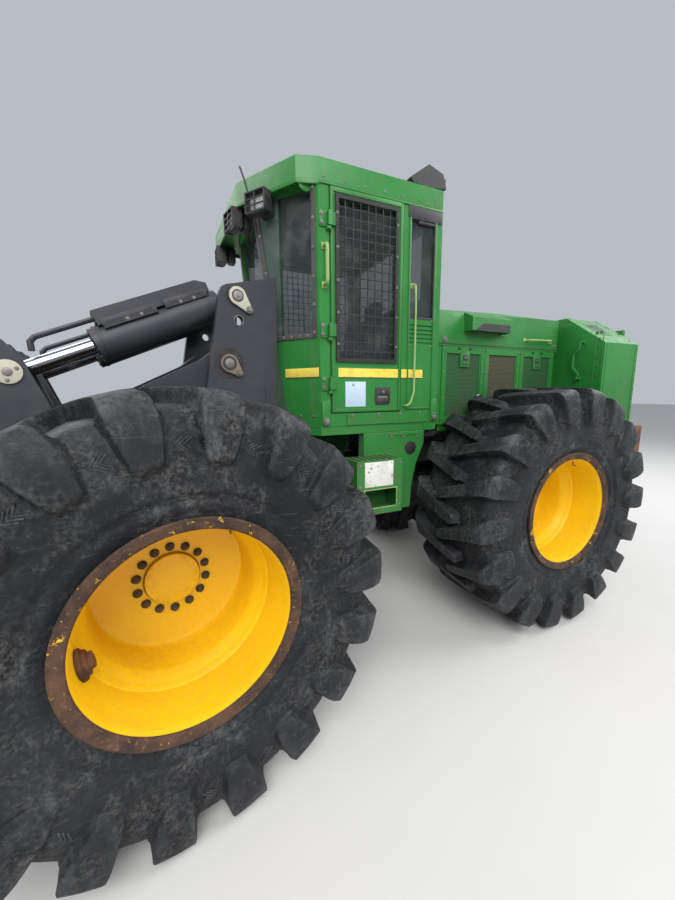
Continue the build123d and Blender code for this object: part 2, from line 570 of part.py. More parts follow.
def cab():
    """The hollow cab, its roof, glass, floor and seat."""
    low, high = cab_outline(CAB_FRONT_LOW_X), cab_outline(CAB_FRONT_TOP_X)
    shell = between(low, high, CAB_WALL_Z, CAB_EAVES_Z)
    shell -= between(inset(low, CAB_WALL), inset(high, CAB_WALL), CAB_WALL_Z, CAB_EAVES_Z)
    wall = (CAB_HALF - CAB_WALL - 10, CAB_HALF + 10)
    right_wall = (-wall[1], -wall[0])
    shell -= block((DOOR_X[0] - DOOR_GAP, DOOR_X[1] + DOOR_GAP), wall, (DOOR_Z[0] - DOOR_GAP, DOOR_Z[1] + DOOR_GAP))
    shell -= block(WINDOW_X, right_wall, WINDOW_Z)
    for sides in (wall, right_wall):
        shell -= block(QUARTER_X, sides, QUARTER_Z)
    shell -= block((CAB_REAR_X - 10, CAB_REAR_X + CAB_WALL + 10), (-560, 560), (2575, 3090))
    hx, hy = DOOR_X[1] + 10, CAB_HALF + 2 + HINGE_OUT
    for z0 in DOOR_KNUCKLES:
        shell += block((hx - 2, hx + 22), (CAB_HALF - 2, hy + 10), (z0 - MOVE_GAP - 18, z0 - MOVE_GAP))
        shell += rod((hx, hy, z0 - MOVE_GAP - 18), (hx, hy, z0 + HINGE_L - 6), HINGE_PIN_R)
    for side in (1, -1):
        for i in range(LOUVRES):
            z = LOUVRE_Z[0] + i * (LOUVRE_Z[1] - LOUVRE_Z[0]) / LOUVRES
            shell -= block(QUARTER_X, (side * (CAB_HALF - 9), side * (CAB_HALF + 1)), (z, z + LOUVRE_H))
    shell += block(SILL_X, (CAB_HALF - 1, CAB_HALF + SILL_T), (CAB_WALL_Z + 8, DOOR_Z[0] - 2 * DOOR_GAP))
    glass = [block(QUARTER_X, (side * (CAB_HALF - 30), side * (CAB_HALF - 30 + GLASS_T)), QUARTER_Z) for side in (1, -1)]
    glass.append(block(WINDOW_X, (-CAB_HALF + 30 - GLASS_T, -CAB_HALF + 30), WINDOW_Z))
    glass.append(block((CAB_REAR_X + 20, CAB_REAR_X + 20 + GLASS_T), (-560, 560), (2575, 3090)))
    for side in (1, -1):
        shell -= corner_pane(*CORNER_GLASS, 20, CAB_WALL + 30, CORNER_GLASS_Z, side)
        glass.append(corner_pane(CORNER_GLASS[0] + 0.3, CORNER_GLASS[1] - 0.3, -18, 18 + GLASS_T, CORNER_GLASS_Z, side))
    plane = front_plane()
    shell -= plane * Pos(0, 940, 0) * Box(560, 1120, 200)
    glass.append(plane * Pos(0, 940, -25) * Box(559, 1119, GLASS_T))
    floor = flat_plate(inset(low, 2), CAB_FLOOR_Z, CAB_WALL_Z)
    plan, top = roof_outline(), CAB_EAVES_Z + ROOF_T
    roof = flat_plate(plan, CAB_EAVES_Z, top) + between(plan, inset(plan, ROOF_SLOPE), top, top + ROOF_CROWN)
    roof -= flat_plate(inset(high, 90), CAB_EAVES_Z - 1, CAB_EAVES_Z + 60)
    roof -= rear_lamp_body()
    seat = block((-250, 250), (-220, 220), (CAB_WALL_Z, CAB_WALL_Z + 300))
    seat += block((-150, 330), (-470, -270), (CAB_WALL_Z, CAB_WALL_Z + 560))
    cushion = block((-140, 300), (-245, 245), (CAB_WALL_Z + 300.3, CAB_WALL_Z + 430))
    rest = block((-250, -140.3), (-225, 225), (CAB_WALL_Z + 300.3, CAB_WALL_Z + 1080))
    profile = TANK_BACK + ((TANK_X[0], TANK_Z[1]), (TANK_X[1], TANK_Z[1]), (TANK_X[1], TANK_Z[0]))
    tanks = both_sides(side_plate(profile, *TANK_Y) - block((60, 400), (TANK_Y[0] - 5, TANK_Y[0] + 130), (800, 1600)))
    step = block(STEP_X, STEP_Y, STEP_Z)
    step -= block((STEP_X[0] + STEP_T, STEP_X[1] - STEP_T), (STEP_Y[0], STEP_Y[1] - STEP_T), (STEP_Z[0] + STEP_T, STEP_Z[1] - STEP_T))
    step -= block((STEP_X[0] + 50, STEP_X[1] - 60), (STEP_Y[1] - 2 * STEP_T, STEP_Y[1] + 1), (STEP_Z[0] + 50, STEP_Z[0] + 180))
    lamps = work_lamps()
    out = CAB_HALF + HANDLE_OUT
    handle = bent_bar(((HANDLE_X, CAB_HALF, HANDLE_Z[1]), (HANDLE_X, out - 15, HANDLE_Z[1]), (HANDLE_X, out, HANDLE_Z[1] - 15),
                       (HANDLE_X, out, HANDLE_Z[0] + 15), (HANDLE_X, out - 15, HANDLE_Z[0]), (HANDLE_X, CAB_HALF, HANDLE_Z[0])), 12)
    x, out = LONG_ROD_X, CAB_HALF + 40
    low, high_end = LONG_ROD_Z
    long_rod = bent_bar(((x, CAB_HALF, high_end), (x, out, high_end), (x - 6, out, high_end - 150), (x - 6, out, low + 100),
                         (x + 26, out, low + 15), (x + 62, out, low), (x + 62, CAB_HALF, low)), 8)
    rails = Compound([handle, long_rod])
    return {"cab_body": shell, "cab_glass": Compound(glass), "cab_floor": floor, "cab_roof": roof, "seat_base": seat,
            "seat_cushions": Compound([cushion, rest]), "side_tanks": tanks, "step_box": step, "work_lamps": lamps,
            "grab_rails": rails}


def work_lamps():
    """Guarded lamps that hang along the front edge of the roof, and the wedge-shaped one on its rear left corner."""
    # x, y of the middle, turn about the vertical
    places = ((952, 475, 35), (1066, 150, 12), (1066, -600, 0))
    hung = [Pos(x, y, CAB_EAVES_Z - 75) * Rot(0, 0, turn) * lamp() for x, y, turn in places]
    rear = rear_lamp_body() - block((-400, -372), (CAB_HALF - REAR_LAMP_W + 20, CAB_HALF - 20), (3334, 3392))
    return Compound(hung + [rear])


def rear_lamp_body():
    """The outer form of the wedge-shaped lamp."""
    return side_plate(REAR_LAMP, CAB_HALF - REAR_LAMP_W, CAB_HALF)


def lamp():
    """A square lamp facing +X with its tapered back, bracket and front guard; its top seats 75 above the middle."""
    shell = block((-30, 25), (-80, 80), (-60, 56))
    back = loft([Pos(-30, 0, -2) * Rot(0, 90, 0) * Rectangle(116, 160), Pos(-58, 0, -2) * Rot(0, 90, 0) * Rectangle(60, 90)])
    shell += back
    shell -= block((12, 26), (-68, 68), (-48, 44))
    shell += block((-34, 52), (-86, 86), (56, 64))
    shell += block((-26, 10), (-22, 22), (64, 75))
    for y in (-86, 78):
        shell += block((-20, 52), (y, y + 8), (-66, 58))
    for z in (-66, -26, 14):
        shell += block((44, 52), (-80, 80), (z, z + 7))
    shell += block((44, 52), (-4, 4), (-66, 58))
    return shell


def door():
    """The cab door with its glass and guard, on the left wall."""
    outer = CAB_HALF + 2
    leaf = block(DOOR_X, (CAB_HALF - CAB_WALL, outer), DOOR_Z)
    leaf -= block(WINDOW_X, (CAB_HALF - CAB_WALL - 5, outer + 5), WINDOW_Z)
    hinge_x, hinge_y = DOOR_X[1] + 10, outer + HINGE_OUT
    for z0 in DOOR_KNUCKLES:
        leaf += block((DOOR_X[1] - 30, hinge_x), (outer - 2, hinge_y), (z0 + 5, z0 + HINGE_L - 5))
        leaf -= rod((hinge_x, hinge_y, z0), (hinge_x, hinge_y, z0 + HINGE_L), HINGE_R - 2)
        leaf += sleeve((hinge_x, hinge_y, z0), (hinge_x, hinge_y, z0 + HINGE_L), HINGE_R)
    pane = block((WINDOW_X[0] + 0.3, WINDOW_X[1] - 0.3), (CAB_HALF - 30, CAB_HALF - 30 + GLASS_T), (WINDOW_Z[0] + 0.3, WINDOW_Z[1] - 0.3))
    guard = block((WINDOW_X[0] - 14, WINDOW_X[1] + 14), (outer + 0.3, outer + 16), (WINDOW_Z[0] - 14, WINDOW_Z[1] + 14))
    guard -= block((WINDOW_X[0] + 12, WINDOW_X[1] - 12), (outer - 5, outer + 20), (WINDOW_Z[0] + 12, WINDOW_Z[1] - 12))
    columns, rows = 8, 17
    for i in range(1, columns):
        x = WINDOW_X[0] + (WINDOW_X[1] - WINDOW_X[0]) * i / columns
        guard += block((x - 3, x + 3), (outer + 2, outer + 10), (WINDOW_Z[0], WINDOW_Z[1]))
    for i in range(1, rows):
        z = WINDOW_Z[0] + (WINDOW_Z[1] - WINDOW_Z[0]) * i / rows
        guard += block((WINDOW_X[0], WINDOW_X[1]), (outer + 2, outer + 10), (z - 3, z + 3))
    return {"cab_door": leaf, "door_glass": pane, "door_guard": guard}


def hood():
    """The lifting bonnet: a shell with bevelled front edges and a hooded air intake on each side."""
    inner_x = (HOOD_X[0] + HOOD_T, HOOD_X[1] - HOOD_T)
    shell = block(HOOD_X, (-HOOD_HALF, HOOD_HALF), HOOD_Z)
    hollow = block(inner_x, (-HOOD_HALF + HOOD_T, HOOD_HALF - HOOD_T), (HOOD_Z[0], HOOD_Z[1] - HOOD_T))
    for side in (1, -1):
        corner = edge_bevel(side)
        shell -= corner
        hollow -= Pos(0, -side * HOOD_T, -HOOD_T) * corner
    shell -= hollow
    low, brow, top = SCOOP_Z
    outside = ((HOOD_HALF - 5, low), (HOOD_HALF + SCOOP_OUT, low), (HOOD_HALF + SCOOP_OUT, brow), (HOOD_HALF - 5, top))
    inside = ((HOOD_HALF, low - 5), (HOOD_HALF + SCOOP_OUT - SCOOP_T, low - 5), (HOOD_HALF + SCOOP_OUT - SCOOP_T, brow - SCOOP_T + 4),
              (HOOD_HALF, top - SCOOP_T))
    for side in (1, -1):
        scoop = cross_plate([(side * y, z) for y, z in outside], *SCOOP_X)
        scoop -= cross_plate([(side * y, z) for y, z in inside], SCOOP_X[0] + SCOOP_T, SCOOP_X[1] - SCOOP_T)
        shell += scoop
        x, z = HOOD_HINGE
        shell += sleeve((x, side * HOOD_KNUCKLE[0], z), (x, side * HOOD_KNUCKLE[1], z), HINGE_R)
    return {"hood": shell}


def edge_bevel(side):
    """The corner that the bonnet's edge bevel takes off, wide at the cab and running out to the rear."""
    x, y, z = HOOD_X[1] + 1, side * (HOOD_HALF + 1), HOOD_Z[1] + 1
    low, inner, tip = (x, y, z - BEVEL_DROP), (x, y - side * BEVEL_IN, z), (x - BEVEL_L, y, z)
    corner = (x, y, z)
    faces = [Face(Polyline(*three, close=True)) for three in ((low, inner, tip), (low, inner, corner), (inner, tip, corner),
                                                             (low, tip, corner))]
    return Solid(Shell(faces))


def rear_door():
    """The hinged grille that covers the cooling box's open back."""
    x1 = BOX_X[0] - MOVE_GAP
    leaf = block((x1 - REAR_DOOR_T, x1), (-REAR_DOOR_HALF, REAR_DOOR_HALF), REAR_DOOR_Z)
    for i in range(9):
        z = REAR_DOOR_Z[0] + 70 + 78 * i
        leaf -= block((x1 - REAR_DOOR_T - 1, x1 + 1), (-REAR_DOOR_HALF + 80, REAR_DOOR_HALF - 80), (z, z + 46))
    x, y = GRILLE_HINGE
    for z0 in GRILLE_KNUCKLES:
        leaf += block((x - 8, x + 8), (y, -REAR_DOOR_HALF + 5), (z0 + 5, z0 + HINGE_L - 5))
        leaf -= rod((x, y, z0), (x, y, z0 + HINGE_L), HINGE_R - 2)
        leaf += sleeve((x, y, z0), (x, y, z0 + HINGE_L), HINGE_R)
    return {"rear_door": leaf}


def front_frame():
    """Front chassis with its spine, hinge tongues and the tower that carries the boom."""
    plate = ((965, 2598), (1312, 2504), (1342, 2488), (1358, 2452), (1466, 1865), (1560, 1480), (1750, 1320), (2120, 1232), (2230, 1200),
             (2230, 1150), (1610, 1150), (1560, 770), (1130, 770), (1130, 1400), (1060, 1480), (1003, 1686))
    inner = FRAME_Y - TOWER_T
    frame = side_plate(plate, inner, FRAME_Y) + side_plate(plate, -FRAME_Y, -inner)
    frame -= cross_pin(*TOWER_EYE, -FRAME_Y - 1, FRAME_Y + 1, TOWER_EYE_R)
    frame += block((1130, 1166), (-inner, inner), (770, 1400))
    frame += block((1166, 1560), (-inner, inner), (770, 800))
    frame += block((1610, 2230), (-inner, inner), (1150, 1182))
    frame += block((2190, 2230), (-inner, inner), (1182, 1200))
    frame += block((1075, 1110), (-inner, inner), (1500, 1900))
    upper = (UPPER_EAR_Z - MOVE_GAP - TONGUE_T, UPPER_EAR_Z - MOVE_GAP)
    lower = (LOWER_EAR_Z + MOVE_GAP, LOWER_EAR_Z + MOVE_GAP + TONGUE_T)
    for side in (1, -1):
        spine = ((170, lower[0]), (1132, lower[0] + 15), (1132, 1300), (420, upper[1]), (170, upper[1]))
        frame += side_plate(spine, side * (TONGUE_HALF - SPINE_T), side * TONGUE_HALF)
        for pin, end, radius, near in ((BOOM_PIVOT, (-61, -60), BOOM_PIN_R, ARM_Y[0] - 10), (TILT_BASE, (-74, -79), TILT_PIN_R, TILT_Y - 70)):
            frame += cross_pin(*pin, side * near, side * (FRAME_Y + KEEPER_T + 4), radius)
            frame += keeper(pin, end, side * (FRAME_Y - 1), side * (FRAME_Y + KEEPER_T))
        frame += lift_bracket(side, inner)
        frame += eye_plates(STEER_EYE, TONGUE_HALF - 5, side)
        pad = block((FRONT_AXLE_X - 110, FRONT_AXLE_X + 110), (side * 330, side * FRAME_Y), (AXLE_Z + 50, 1152))
        frame += pad - rod((FRONT_AXLE_X, -500, AXLE_Z), (FRONT_AXLE_X, 500, AXLE_Z), AXLE_TUBE_R)
    for z0, z1 in (upper, lower):
        frame += ear(z0, z1, 1, TONGUE_L, TONGUE_HALF, EAR_R - 5)
        frame -= rod((0, 0, z0 - 1), (0, 0, z1 + 1), PIN_R + RUN_GAP)
    return frame


def keeper(pin, end, y0, y1):
    """The flat link that holds a pin's head, from the pin to its bolt."""
    x, z = pin
    length = hypot(*end)
    ux, uz = end[0] / length, end[1] / length
    big, small = 62, 27
    waist = [(x - uz * big, z + ux * big), (x + end[0] - uz * small, z + end[1] + ux * small),
             (x + end[0] + uz * small, z + end[1] - ux * small), (x + uz * big, z - ux * big)]
    bolt_end = cross_pin(x + end[0], z + end[1], y0, y1, small)
    return cross_pin(x, z, y0, y1, big) + bolt_end + side_plate(waist, y0, y1)


def lift_bracket(side, inner):
    """The pin of a lift cylinder's base with the two plates that hold it on the bulkhead."""
    x, z = LIFT_BASE
    shape = cross_pin(x, z, side * (LIFT_Y - EYE_W / 2 - 30), side * (LIFT_Y + EYE_W / 2 + 30), TILT_PIN_R)
    outline = ((1140, z - 90), (x + 20, z - 60), (x + 60, z), (x + 20, z + 60), (1140, z + 90))
    for face in (LIFT_Y - EYE_W / 2 - MOVE_GAP, LIFT_Y + EYE_W / 2 + MOVE_GAP + 26):
        shape += side_plate(outline, side * face, side * (face - 26))
    return shape


def cylinder_parts(base, eye, y, outer, stem_d, length, stem_length, pin):
    """A barrel and a rod in the (x, z) plane, at one side of the machine."""
    span = hypot(eye[0] - base[0], eye[1] - base[1])
    ux, uz = (eye[0] - base[0]) / span, (eye[1] - base[1]) / span

    def at(along, across=0):
        return base[0] + ux * along, y + across, base[1] + uz * along

    lug_r = pin + 24
    neck = lug_r + 34
    barrel = rod(at(neck), at(length), outer / 2) + rod(at(lug_r - 20), at(neck + 5), EYE_W / 2)
    barrel += rod(at(0, -EYE_W / 2), at(0, EYE_W / 2), lug_r)
    barrel -= rod(at(0, -EYE_W), at(0, EYE_W), pin + RUN_GAP)
    barrel -= rod(at(neck + 30), at(length + 1), stem_d / 2 + RUN_GAP)
    stem = rod(at(span - stem_length), at(span - 20), stem_d / 2) + rod(at(span, -EYE_W / 2), at(span, EYE_W / 2), lug_r)
    return barrel, stem


def barrel_cover(side):
    """The long cover on top of a tilt barrel, with the steel pipe that leaves its front end."""
    y = side * TILT_Y
    span = hypot(TILT_EYE[0] - TILT_BASE[0], TILT_EYE[1] - TILT_BASE[1])
    ux, uz = (TILT_EYE[0] - TILT_BASE[0]) / span, (TILT_EYE[1] - TILT_BASE[1]) / span
    plane = Plane(origin=(TILT_BASE[0], y, TILT_BASE[1]), x_dir=(ux, 0, uz), z_dir=(-uz, 0, ux))
    low = TILT_OD / 2 - 8
    high = TILT_OD / 2 + TILT_GUARD_H
    start, end = TILT_GUARD
    half = TILT_GUARD_W / 2
    outline = Polyline((start, low), (end, low), (end, high), (start + 60, high), (start, high - 30), close=True)
    cover = Pos(0, half, 0) * Rot(90, 0, 0) * extrude(make_face(outline), TILT_GUARD_W)
    middle = (low + high) / 2 + 8
    pipe = bent_bar(((end - 10, 0, middle), (end + 290, 0, middle), (end + 318, 0, middle - 14), (end + 336, 0, middle - 60)), PIPE_R)
    return plane * (cover + pipe)


def front_cylinders():
    """Lift and tilt cylinders, a pair of each."""
    result = {"lift_barrels": [], "lift_rods": [], "tilt_barrels": [], "tilt_rods": []}
    for side in (1, -1):
        barrel, stem = cylinder_parts(LIFT_BASE, LIFT_EYE, side * LIFT_Y, LIFT_OD, LIFT_ROD, LIFT_BARREL, LIFT_STEM, TILT_PIN_R)
        result["lift_barrels"].append(barrel)
        result["lift_rods"].append(stem)
        barrel, stem = cylinder_parts(TILT_BASE, TILT_EYE, side * TILT_Y, TILT_OD, TILT_ROD, TILT_BARREL, TILT_STEM, TILT_PIN_R)
        result["tilt_barrels"].append(barrel + barrel_cover(side))
        result["tilt_rods"].append(stem)
    return {name: Compound(pieces) for name, pieces in result.items()}


def boom():
    """Two arms tied by cross tubes, with bosses at both pins and ears for the lift rods."""
    arm = ((1215, 2030), (1262, 2122), (1350, 2135), (1470, 2045), (1828, 1870), (2335, 1510), (2350, 1400), (2270, 1318),
           (2160, 1330), (2010, 1490), (1890, 1500), (1500, 1750), (1240, 1925))
    ear_outline = ((1620, 1830), (1760, 1850), (2015, 1600), (2008, 1525), (1935, 1505), (1862, 1592), (1715, 1752))
    shape = None
    for side in (1, -1):
        plate = side_plate(arm, side * ARM_Y[0], side * ARM_Y[1])
        for x, z in (BOOM_PIVOT, BOOM_FRONT):
            plate -= cross_pin(x, z, side * 200, side * 400, BOOM_PIN_R + RUN_GAP)
        near = LIFT_Y - EYE_W / 2 - MOVE_GAP
        far = LIFT_Y + EYE_W / 2 + MOVE_GAP
        plate += side_plate(ear_outline, side * near, side * (near - 26))
        plate += side_plate(ear_outline, side * far, side * (ARM_Y[0] + 1))
        shape = plate if shape is None else shape + plate
    shape += rod((1690, -ARM_Y[0] - 5, 1815), (1690, ARM_Y[0] + 5, 1815), 78)
    shape += rod((2010, -ARM_Y[0] - 5, 1680), (2010, ARM_Y[0] + 5, 1680), 50)
    return {"boom": shape}


def steering():
    """Steering cylinders on both sides of the articulation, in the rear half's frame."""
    parts = {}
    turn = radians(PARKED_STEER)
    for side, name in ((1, "left"), (-1, "right")):
        bx, by = STEER_BASE[0], side * STEER_BASE[1]
        ex, ey = STEER_EYE[0], side * STEER_EYE[1]
        ex, ey = ex * cos(turn) - ey * sin(turn), ex * sin(turn) + ey * cos(turn)
        span = hypot(ex - bx, ey - by)
        ux, uy = (ex - bx) / span, (ey - by) / span

        def at(along, up=0):
            return bx + ux * along, by + uy * along, STEER_Z + up

        barrel = rod(at(85), at(STEER_BARREL), STEER_OD / 2) + rod(at(20), at(90), EYE_W / 2 - 4)
        barrel += rod(at(0, -EYE_W / 2), at(0, EYE_W / 2), 40)
        barrel -= rod(at(0, -EYE_W), at(0, EYE_W), STEER_PIN_R + RUN_GAP)
        barrel -= rod(at(95), at(STEER_BARREL + 1), STEER_ROD / 2 + RUN_GAP)
        stem = rod(at(span - STEER_STEM), at(span - 20), STEER_ROD / 2) + rod(at(span, -EYE_W / 2), at(span, EYE_W / 2), 36)
        parts["steer_barrel_" + name] = barrel
        parts["steer_rod_" + name] = stem
    return parts


def felling_head():
    """Adapter, head frame, saw housing, disc and the two grab arms."""
    plate = ((2120, 1370), (2160, 1310), (2300, 1300), (HEAD_X, 1250), (HEAD_X, 1900), (2470, 2105), (2396, 2091), (2325, 1986),
             (2247, 1762))
    adapter = block((HEAD_X - 36, HEAD_X), (-ADAPTER_Y, ADAPTER_Y), (1250, 1900))
    for side in (1, -1):
        for outer in (ADAPTER_Y, 215):
            piece = side_plate(plate, side * (outer - ADAPTER_T), side * outer)
            adapter += piece - cross_pin(BOOM_FRONT[0], BOOM_FRONT[1], side * 100, side * 460, BOOM_PIN_R + RUN_GAP)
    shaft = cross_pin(*BOOM_FRONT, -ADAPTER_Y - 14, ADAPTER_Y + 14, BOOM_PIN_R)
    shaft += cross_pin(*BOOM_FRONT, -215 + ADAPTER_T + MOVE_GAP, 215 - ADAPTER_T - MOVE_GAP, PIVOT_TUBE_R)
    frame = block((HEAD_X, HEAD_X + 40), (-HEAD_HALF, HEAD_HALF), (HOUSING_Z[1], HEAD_TOP_Z))
    wing = ((HEAD_X, HOUSING_Z[1]), (HEAD_X + 260, HOUSING_Z[1]), (HEAD_X + 200, 900), (HEAD_X + 180, 2100), (HEAD_X + 60, HEAD_TOP_Z),
            (HEAD_X, HEAD_TOP_Z))
    for side, z in ((1, HARVEST_Z), (-1, ACCUMULATE_Z)):
        frame += side_plate(wing, side * (HEAD_HALF - 40), side * HEAD_HALF)
        frame += rod((ARM_PIVOT_X, side * ARM_PIVOT_Y, z - 40), (ARM_PIVOT_X, side * ARM_PIVOT_Y, z + GRAB_T + 40), ARM_PIN_R)
        plan = [(HEAD_X, side * (HEAD_HALF - 5)), (ARM_PIVOT_X + 55, side * (HEAD_HALF - 5)), (ARM_PIVOT_X + 55, side * (ARM_PIVOT_Y + 20)),
                (ARM_PIVOT_X + 20, side * (ARM_PIVOT_Y + 55)), (ARM_PIVOT_X - 40, side * (ARM_PIVOT_Y + 50))]
        frame += flat_plate(plan, z - MOVE_GAP - 30, z - MOVE_GAP) + flat_plate(plan, z + GRAB_T + MOVE_GAP, z + GRAB_T + MOVE_GAP + 30)
    housing = rod((SAW_X, 0, HOUSING_Z[0]), (SAW_X, 0, HOUSING_Z[1]), HOUSING_R)
    housing -= rod((SAW_X, 0, SAW_Z - 16), (SAW_X, 0, HOUSING_Z[1] - 60), SAW_R + 26)
    housing -= block((SAW_X + MOUTH_X, SAW_X + HOUSING_R + 10), (-HOUSING_R, HOUSING_R), (HOUSING_Z[0] - 1, HOUSING_Z[1] + 1))
    housing += rod((SAW_X, 0, SAW_Z + SAW_T + RUN_GAP), (SAW_X, 0, HOUSING_Z[1] - 20), 150)
    disc = rod((SAW_X, 0, SAW_Z), (SAW_X, 0, SAW_Z + SAW_T), SAW_R - 30)
    for i in range(SAW_TEETH):
        disc += Pos(SAW_X, 0, SAW_Z) * Rot(0, 0, 360 * i / SAW_TEETH) * Pos(SAW_R - 30, 0, SAW_T / 2) * Box(58, 40, SAW_T)
    return {"head_adapter": adapter, "head_pins": shaft, "head_frame": frame, "saw_housing": housing, "saw_disc": disc,
            "harvest_arm": grab_arm(1, HARVEST_Z), "accumulator_arm": grab_arm(-1, ACCUMULATE_Z)}


def grab_arm(side, z):
    """A curved gathering arm in front of the timber pocket, with its hinge eye."""
    # x, y from the hinge, y positive away from the pocket
    outline = ((-55, -40), (60, -60), (260, -10), (470, -60), (620, -200), (700, -400), (765, -390), (700, -140), (530, 40), (290, 100),
               (50, 62), (-40, 45))
    points = [(ARM_PIVOT_X + x, side * (ARM_PIVOT_Y + y)) for x, y in outline]
    place = (ARM_PIVOT_X, side * ARM_PIVOT_Y)
    return flat_plate(points, z, z + GRAB_T) - rod((*place, z - 1), (*place, z + GRAB_T + 1), ARM_PIN_R + RUN_GAP)


rear_place = Pos(ORIGIN_X, ORIGIN_Y, 0)
front_place = rear_place * Rot(0, 0, PARKED_STEER)

rear_parts = build_rear()
rear_parts.update(door())
rear_parts.update(hood())
rear_parts.update(rear_door())
rear_parts.update(steering())

front_parts = {"front_frame": front_frame(), "front_axle": axle(FRONT_AXLE_X)}
front_parts.update(front_cylinders())
front_parts.update(boom())
front_parts.update(felling_head())

one_tyre, one_rim = tyre(), rim()
for parts, axle_x, end in ((rear_parts, REAR_AXLE_X, "rear"), (front_parts, FRONT_AXLE_X, "front")):
    for side, name in ((1, "left"), (-1, "right")):
        turned = Pos(axle_x, side * TRACK_HALF, AXLE_Z) * Rot(0, 0, 0 if side > 0 else 180)
        parts["tyre_" + end + "_" + name] = turned * one_tyre
        parts["rim_" + end + "_" + name] = turned * one_rim

os.makedirs("parts", exist_ok=True)
for place, parts in ((rear_place, rear_parts), (front_place, front_parts)):
    for name, shape in parts.items():
        export_step(place * shape, "parts/" + name + ".step")
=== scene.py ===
"""Looks of the wheeled feller buncher: finishes for the frame's nodes and the finer pieces round them."""
import json
import logging
import math
from dataclasses import dataclass, field
from enum import Enum
from typing import Iterable, Optional, Sequence, Union

import bmesh
import bpy
from mathutils import Matrix, Vector


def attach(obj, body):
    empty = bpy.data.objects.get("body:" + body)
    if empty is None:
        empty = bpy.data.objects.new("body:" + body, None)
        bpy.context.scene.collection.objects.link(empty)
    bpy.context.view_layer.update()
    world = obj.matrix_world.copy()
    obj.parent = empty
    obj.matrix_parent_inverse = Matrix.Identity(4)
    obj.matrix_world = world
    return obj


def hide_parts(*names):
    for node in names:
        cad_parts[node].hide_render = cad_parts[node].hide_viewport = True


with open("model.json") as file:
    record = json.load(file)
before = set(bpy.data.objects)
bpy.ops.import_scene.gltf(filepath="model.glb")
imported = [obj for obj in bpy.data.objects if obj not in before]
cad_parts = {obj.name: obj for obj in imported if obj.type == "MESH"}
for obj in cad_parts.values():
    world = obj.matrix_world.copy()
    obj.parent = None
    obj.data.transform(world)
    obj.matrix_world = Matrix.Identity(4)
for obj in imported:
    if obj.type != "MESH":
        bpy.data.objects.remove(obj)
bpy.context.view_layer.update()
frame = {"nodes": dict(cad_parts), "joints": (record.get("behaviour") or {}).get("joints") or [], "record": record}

LOG = logging.getLogger("feller_buncher")

Point = Sequence[float]
Number = Union[float, "Signal"]
Colour = tuple[float, float, float]


class Half(Enum):
    """The two halves that the articulation joins."""

    REAR = "rear_half"
    FRONT = "front_half"


class Axis(Enum):
    """The axis that a plate's outline is extruded along, or a turned form spins about."""

    X = 0
    Y = 1
    Z = 2


@dataclass(frozen=True)
class Layout:
    """Where each half of the machine stands, read from the joints of the frame."""

    pivot: Vector
    steer: float

    @classmethod
    def from_joints(cls, joints: list[dict]) -> "Layout":
        """Finds the articulation axis and the angle at which the machine is parked.

        Args:
            joints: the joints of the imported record.

        Returns:
            The layout of both halves.
        """
        named = {joint["name"]: joint for joint in joints}
        axis = named["boom_lift"]["axis"]
        position = named["steer"]["pos_m"]
        return cls(Vector((position[0], position[1], 0.0)), math.atan2(axis[0], -axis[1]))

    def matrix(self, half: Half) -> Matrix:
        """The transform from a half's own frame to the row frame."""
        turn = self.steer if half is Half.FRONT else 0.0
        return Matrix.Translation(self.pivot) @ Matrix.Rotation(turn, 4, "Z")


LAYOUT = Layout.from_joints(frame["joints"])


class Signal:
    """A socket of a material's node tree, so that shader maths reads as plain expressions."""

    def __init__(self, shader: "Shader", socket: bpy.types.NodeSocket) -> None:
        """Keeps the socket and the shader that it belongs to."""
        self.shader = shader
        self.socket = socket

    def _math(self, operation: str, *values: Number) -> "Signal":
        """Adds a Math node for an operation on values."""
        node = self.shader.node("ShaderNodeMath", {"operation": operation}, dict(enumerate(values)))
        return Signal(self.shader, node.outputs[0])

    def __add__(self, other: Number) -> "Signal":
        """Sum."""
        return self._math("ADD", self, other)

    __radd__ = __add__

    def __sub__(self, other: Number) -> "Signal":
        """Difference."""
        return self._math("SUBTRACT", self, other)

    def __rsub__(self, other: Number) -> "Signal":
        """Difference, the other way round."""
        return self._math("SUBTRACT", other, self)

    def __mul__(self, other: Number) -> "Signal":
        """Product."""
        return self._math("MULTIPLY", self, other)

    __rmul__ = __mul__

    def above(self, low: float, high: float) -> "Signal":
        """A mask that rises smoothly from 0 at low to 1 at high, or falls if low is the larger."""
        inputs = {"Value": self, "From Min": low, "From Max": high}
        node = self.shader.node("ShaderNodeMapRange", {"interpolation_type": "SMOOTHSTEP"}, inputs)
        return Signal(self.shader, node.outputs["Result"])

    def absolute(self) -> "Signal":
        """Size without sign."""
        return self._math("ABSOLUTE", self)

    def ripple(self) -> "Signal":
        """Sine."""
        return self._math("SINE", self)

    def least(self, other: Number) -> "Signal":
        """The smaller of two."""
        return self._math("MINIMUM", self, other)


